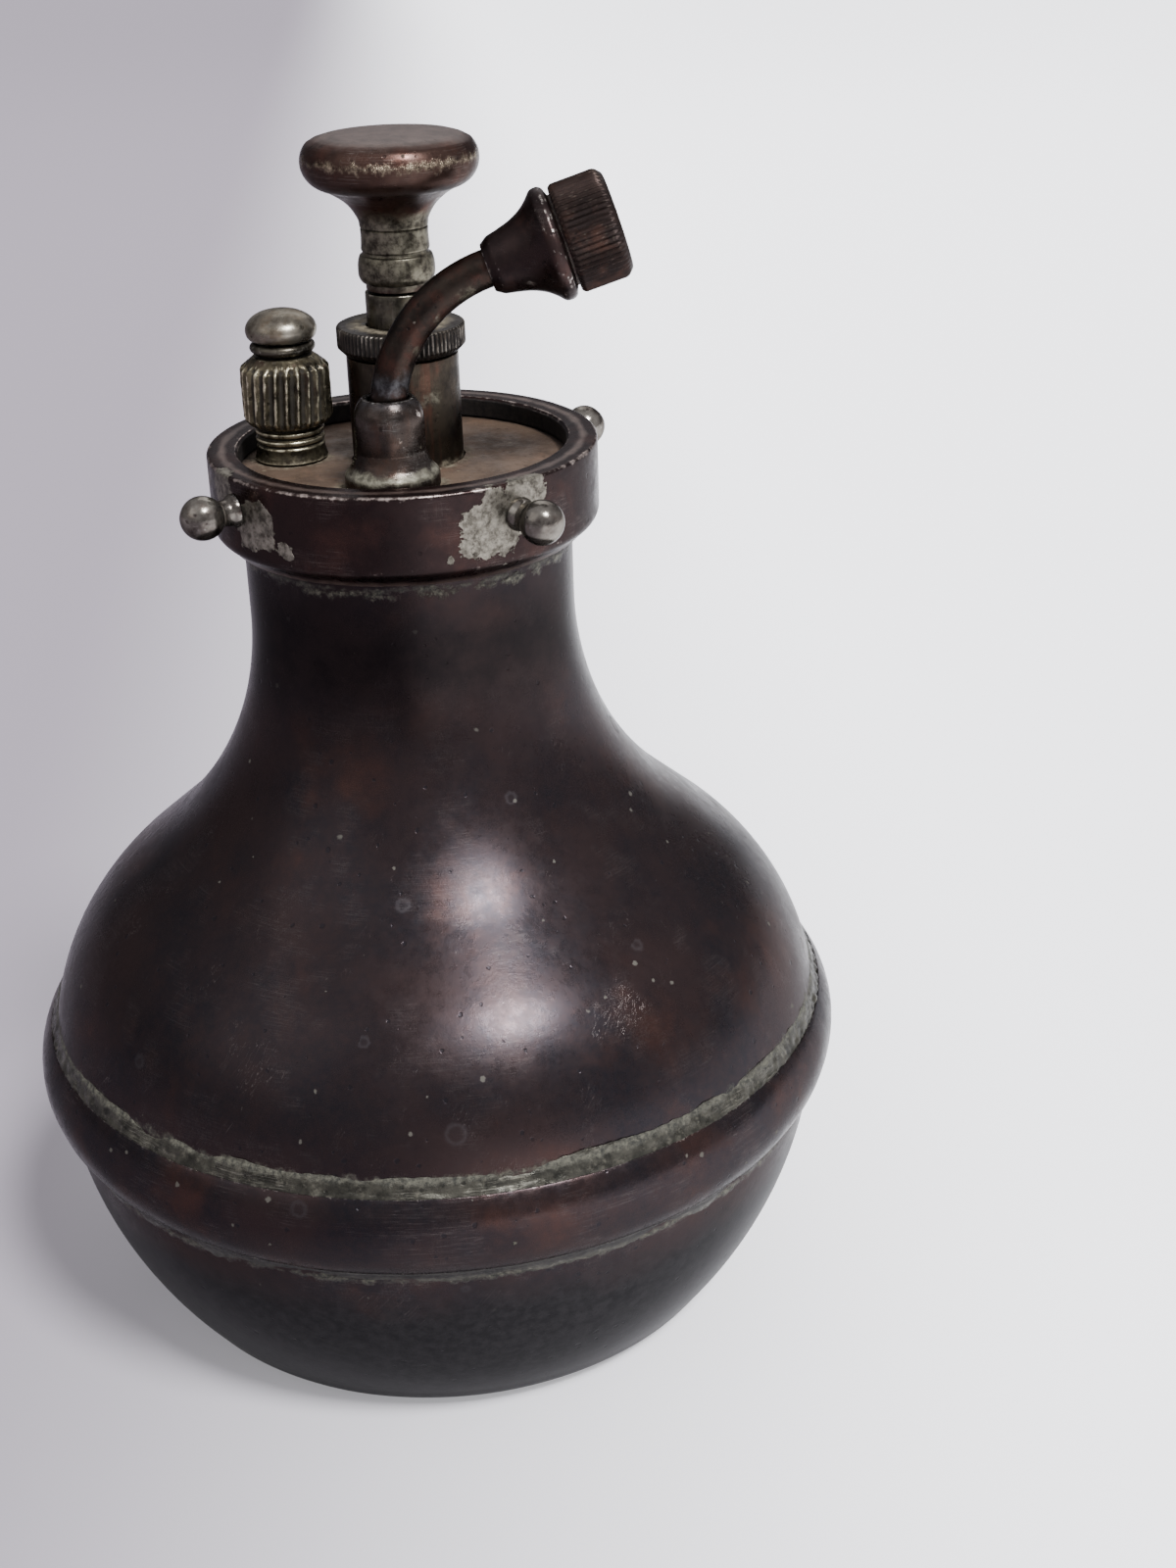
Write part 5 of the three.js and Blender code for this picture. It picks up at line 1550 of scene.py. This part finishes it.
@dataclass
class Studio:
    """The pale floor, the soft lights and the camera."""

    lens: float = 48.531
    place: Point = (0.0, -0.279187, 0.20869)
    pitch: float = 25.321
    yaw: float = 4.844
    roll: float = -1.748
    floor_shade_left: Colour = (0.25, 0.222, 0.258)
    floor_right: Colour = (0.95, 0.95, 0.975)
    glow_right: Colour = (0.8, 0.8, 0.825)
    sun_from: Point = (0.31, -0.5, 0.83)
    sun_power: float = 6.6
    sun_width: float = 14.0
    sky_low: Colour = (0.27, 0.255, 0.285)
    sky_high: Colour = (0.98, 0.97, 1.03)
    lights: tuple[tuple[str, Point, Point, float, float, Colour], ...] = field(default=(
        ("fill_light", (-0.9, -0.5, 0.9), (0.0, 0.0, 0.06), 0.9, 2.5, (1.0, 0.98, 0.97)),
        ("back_light", (0.2, 1.1, 1.0), (0.0, 0.0, 0.05), 0.9, 5.0, (1.0, 1.0, 1.0)),
    ))

    def build(self) -> None:
        """Builds the room."""
        self.build_floor()
        self.build_lights()
        self.build_camera()

    def build_floor(self) -> None:
        """Builds the floor, painted dark on the left as shade and glowing on the right as painted
        light, and paints the air around it.
        """
        bm = bmesh.new()
        bmesh.ops.create_circle(bm, cap_ends=True, radius=7.0, segments=96,
                                matrix=Matrix.Translation((0.0, 0.0, -0.0001)))
        mesh = bpy.data.meshes.new("pale_floor")
        bm.to_mesh(mesh)
        bm.free()
        material = bpy.data.materials.new("pale_floor")
        material.use_nodes = True
        shader = material.node_tree.nodes["Principled BSDF"]
        g = Graph(material.node_tree)
        split = g.add("ShaderNodeSeparateXYZ")
        g.feed(split.inputs[0], g.add("ShaderNodeTexCoord").outputs["Object"])
        # Painted light: the floor is painted darker on the left as shade and glows on the right
        # though it is no lamp.
        across = g.step(split.outputs[0], -0.1, 0.12)
        g.feed(shader.inputs["Base Color"], g.blend(across, self.floor_shade_left, self.floor_right))
        g.feed(shader.inputs["Emission Color"], g.blend(across, (0.0, 0.0, 0.0),
                                                        self.glow_right))
        shader.inputs["Emission Strength"].default_value = 1.0
        shader.inputs["Roughness"].default_value = 0.75
        mesh.materials.append(material)
        floor = bpy.data.objects.new("pale_floor", mesh)
        bpy.context.scene.collection.objects.link(floor)
        world = bpy.data.worlds.new("soft_room")
        world.use_nodes = True
        g = Graph(world.node_tree)
        side = g.add("ShaderNodeVectorMath", operation="DOT_PRODUCT")
        g.feed(side.inputs[0], g.add("ShaderNodeTexCoord").outputs["Generated"])
        side.inputs[1].default_value = Vector(self.sun_from).normalized()
        sky = g.blend(g.step(side.outputs["Value"], -0.75, 1.0), self.sky_low, self.sky_high)
        back = world.node_tree.nodes["Background"]
        g.feed(back.inputs[0], sky)
        back.inputs[1].default_value = 0.95
        bpy.context.scene.world = world

    def build_lights(self) -> None:
        """Hangs the soft main light and the lights that fill the shadows."""
        sun = bpy.data.lights.new("main_light", "SUN")
        sun.energy = self.sun_power
        sun.angle = math.radians(self.sun_width)
        sun.color = (0.97, 0.98, 1.0)
        self.hang(sun, (0.0, 0.0, 0.0), -Vector(self.sun_from))
        for name, place, target, size, power, colour in self.lights:
            data = bpy.data.lights.new(name, "AREA")
            data.shape = "RECTANGLE"
            data.size = data.size_y = size
            data.energy = power
            data.color = colour
            self.hang(data, place, Vector(target) - Vector(place))

    @staticmethod
    def hang(data: Any, place: Point, aim: Vector) -> None:
        """Hangs a light at a place and points it along its aim."""
        lamp = bpy.data.objects.new(data.name, data)
        lamp.location = place
        lamp.rotation_mode = "QUATERNION"
        lamp.rotation_quaternion = aim.to_track_quat("-Z", "Y")
        bpy.context.scene.collection.objects.link(lamp)

    def build_camera(self) -> None:
        """Sets the camera up at the viewing angle."""
        pitch, yaw, roll = (math.radians(a) for a in (self.pitch, self.yaw, self.roll))
        ahead = Vector((math.sin(yaw) * math.cos(pitch), math.cos(yaw) * math.cos(pitch),
                        -math.sin(pitch)))
        right = Vector((math.cos(yaw), -math.sin(yaw), 0.0))
        up = right.cross(ahead)
        rolled = right * math.cos(roll) + up * math.sin(roll)
        raised = up * math.cos(roll) - right * math.sin(roll)
        data = bpy.data.cameras.new("camera")
        data.lens = self.lens
        data.sensor_width = 36.0
        data.clip_start = 0.01
        data.clip_end = 60.0
        camera = bpy.data.objects.new("camera", data)
        turn = Matrix((rolled, raised, -ahead)).transposed().to_4x4()
        camera.matrix_world = Matrix.Translation(self.place) @ turn
        bpy.context.scene.collection.objects.link(camera)
        bpy.context.scene.camera = camera


def main() -> None:
    """Builds the sprayer and its room."""
    logging.basicConfig(level=logging.INFO, format="%(name)s %(message)s")
    finishes = Finishes()
    assemblies = (Vessel(finishes), Collar(finishes), Pump(finishes), ReliefValve(finishes),
                  Outlet(finishes), Spout(finishes), Springs(finishes))
    for assembly in assemblies:
        LOG.info("building %s", type(assembly).__name__)
        assembly.build()
    dress_nodes(finishes)
    Studio().build()


if __name__ == "__main__":
    main()
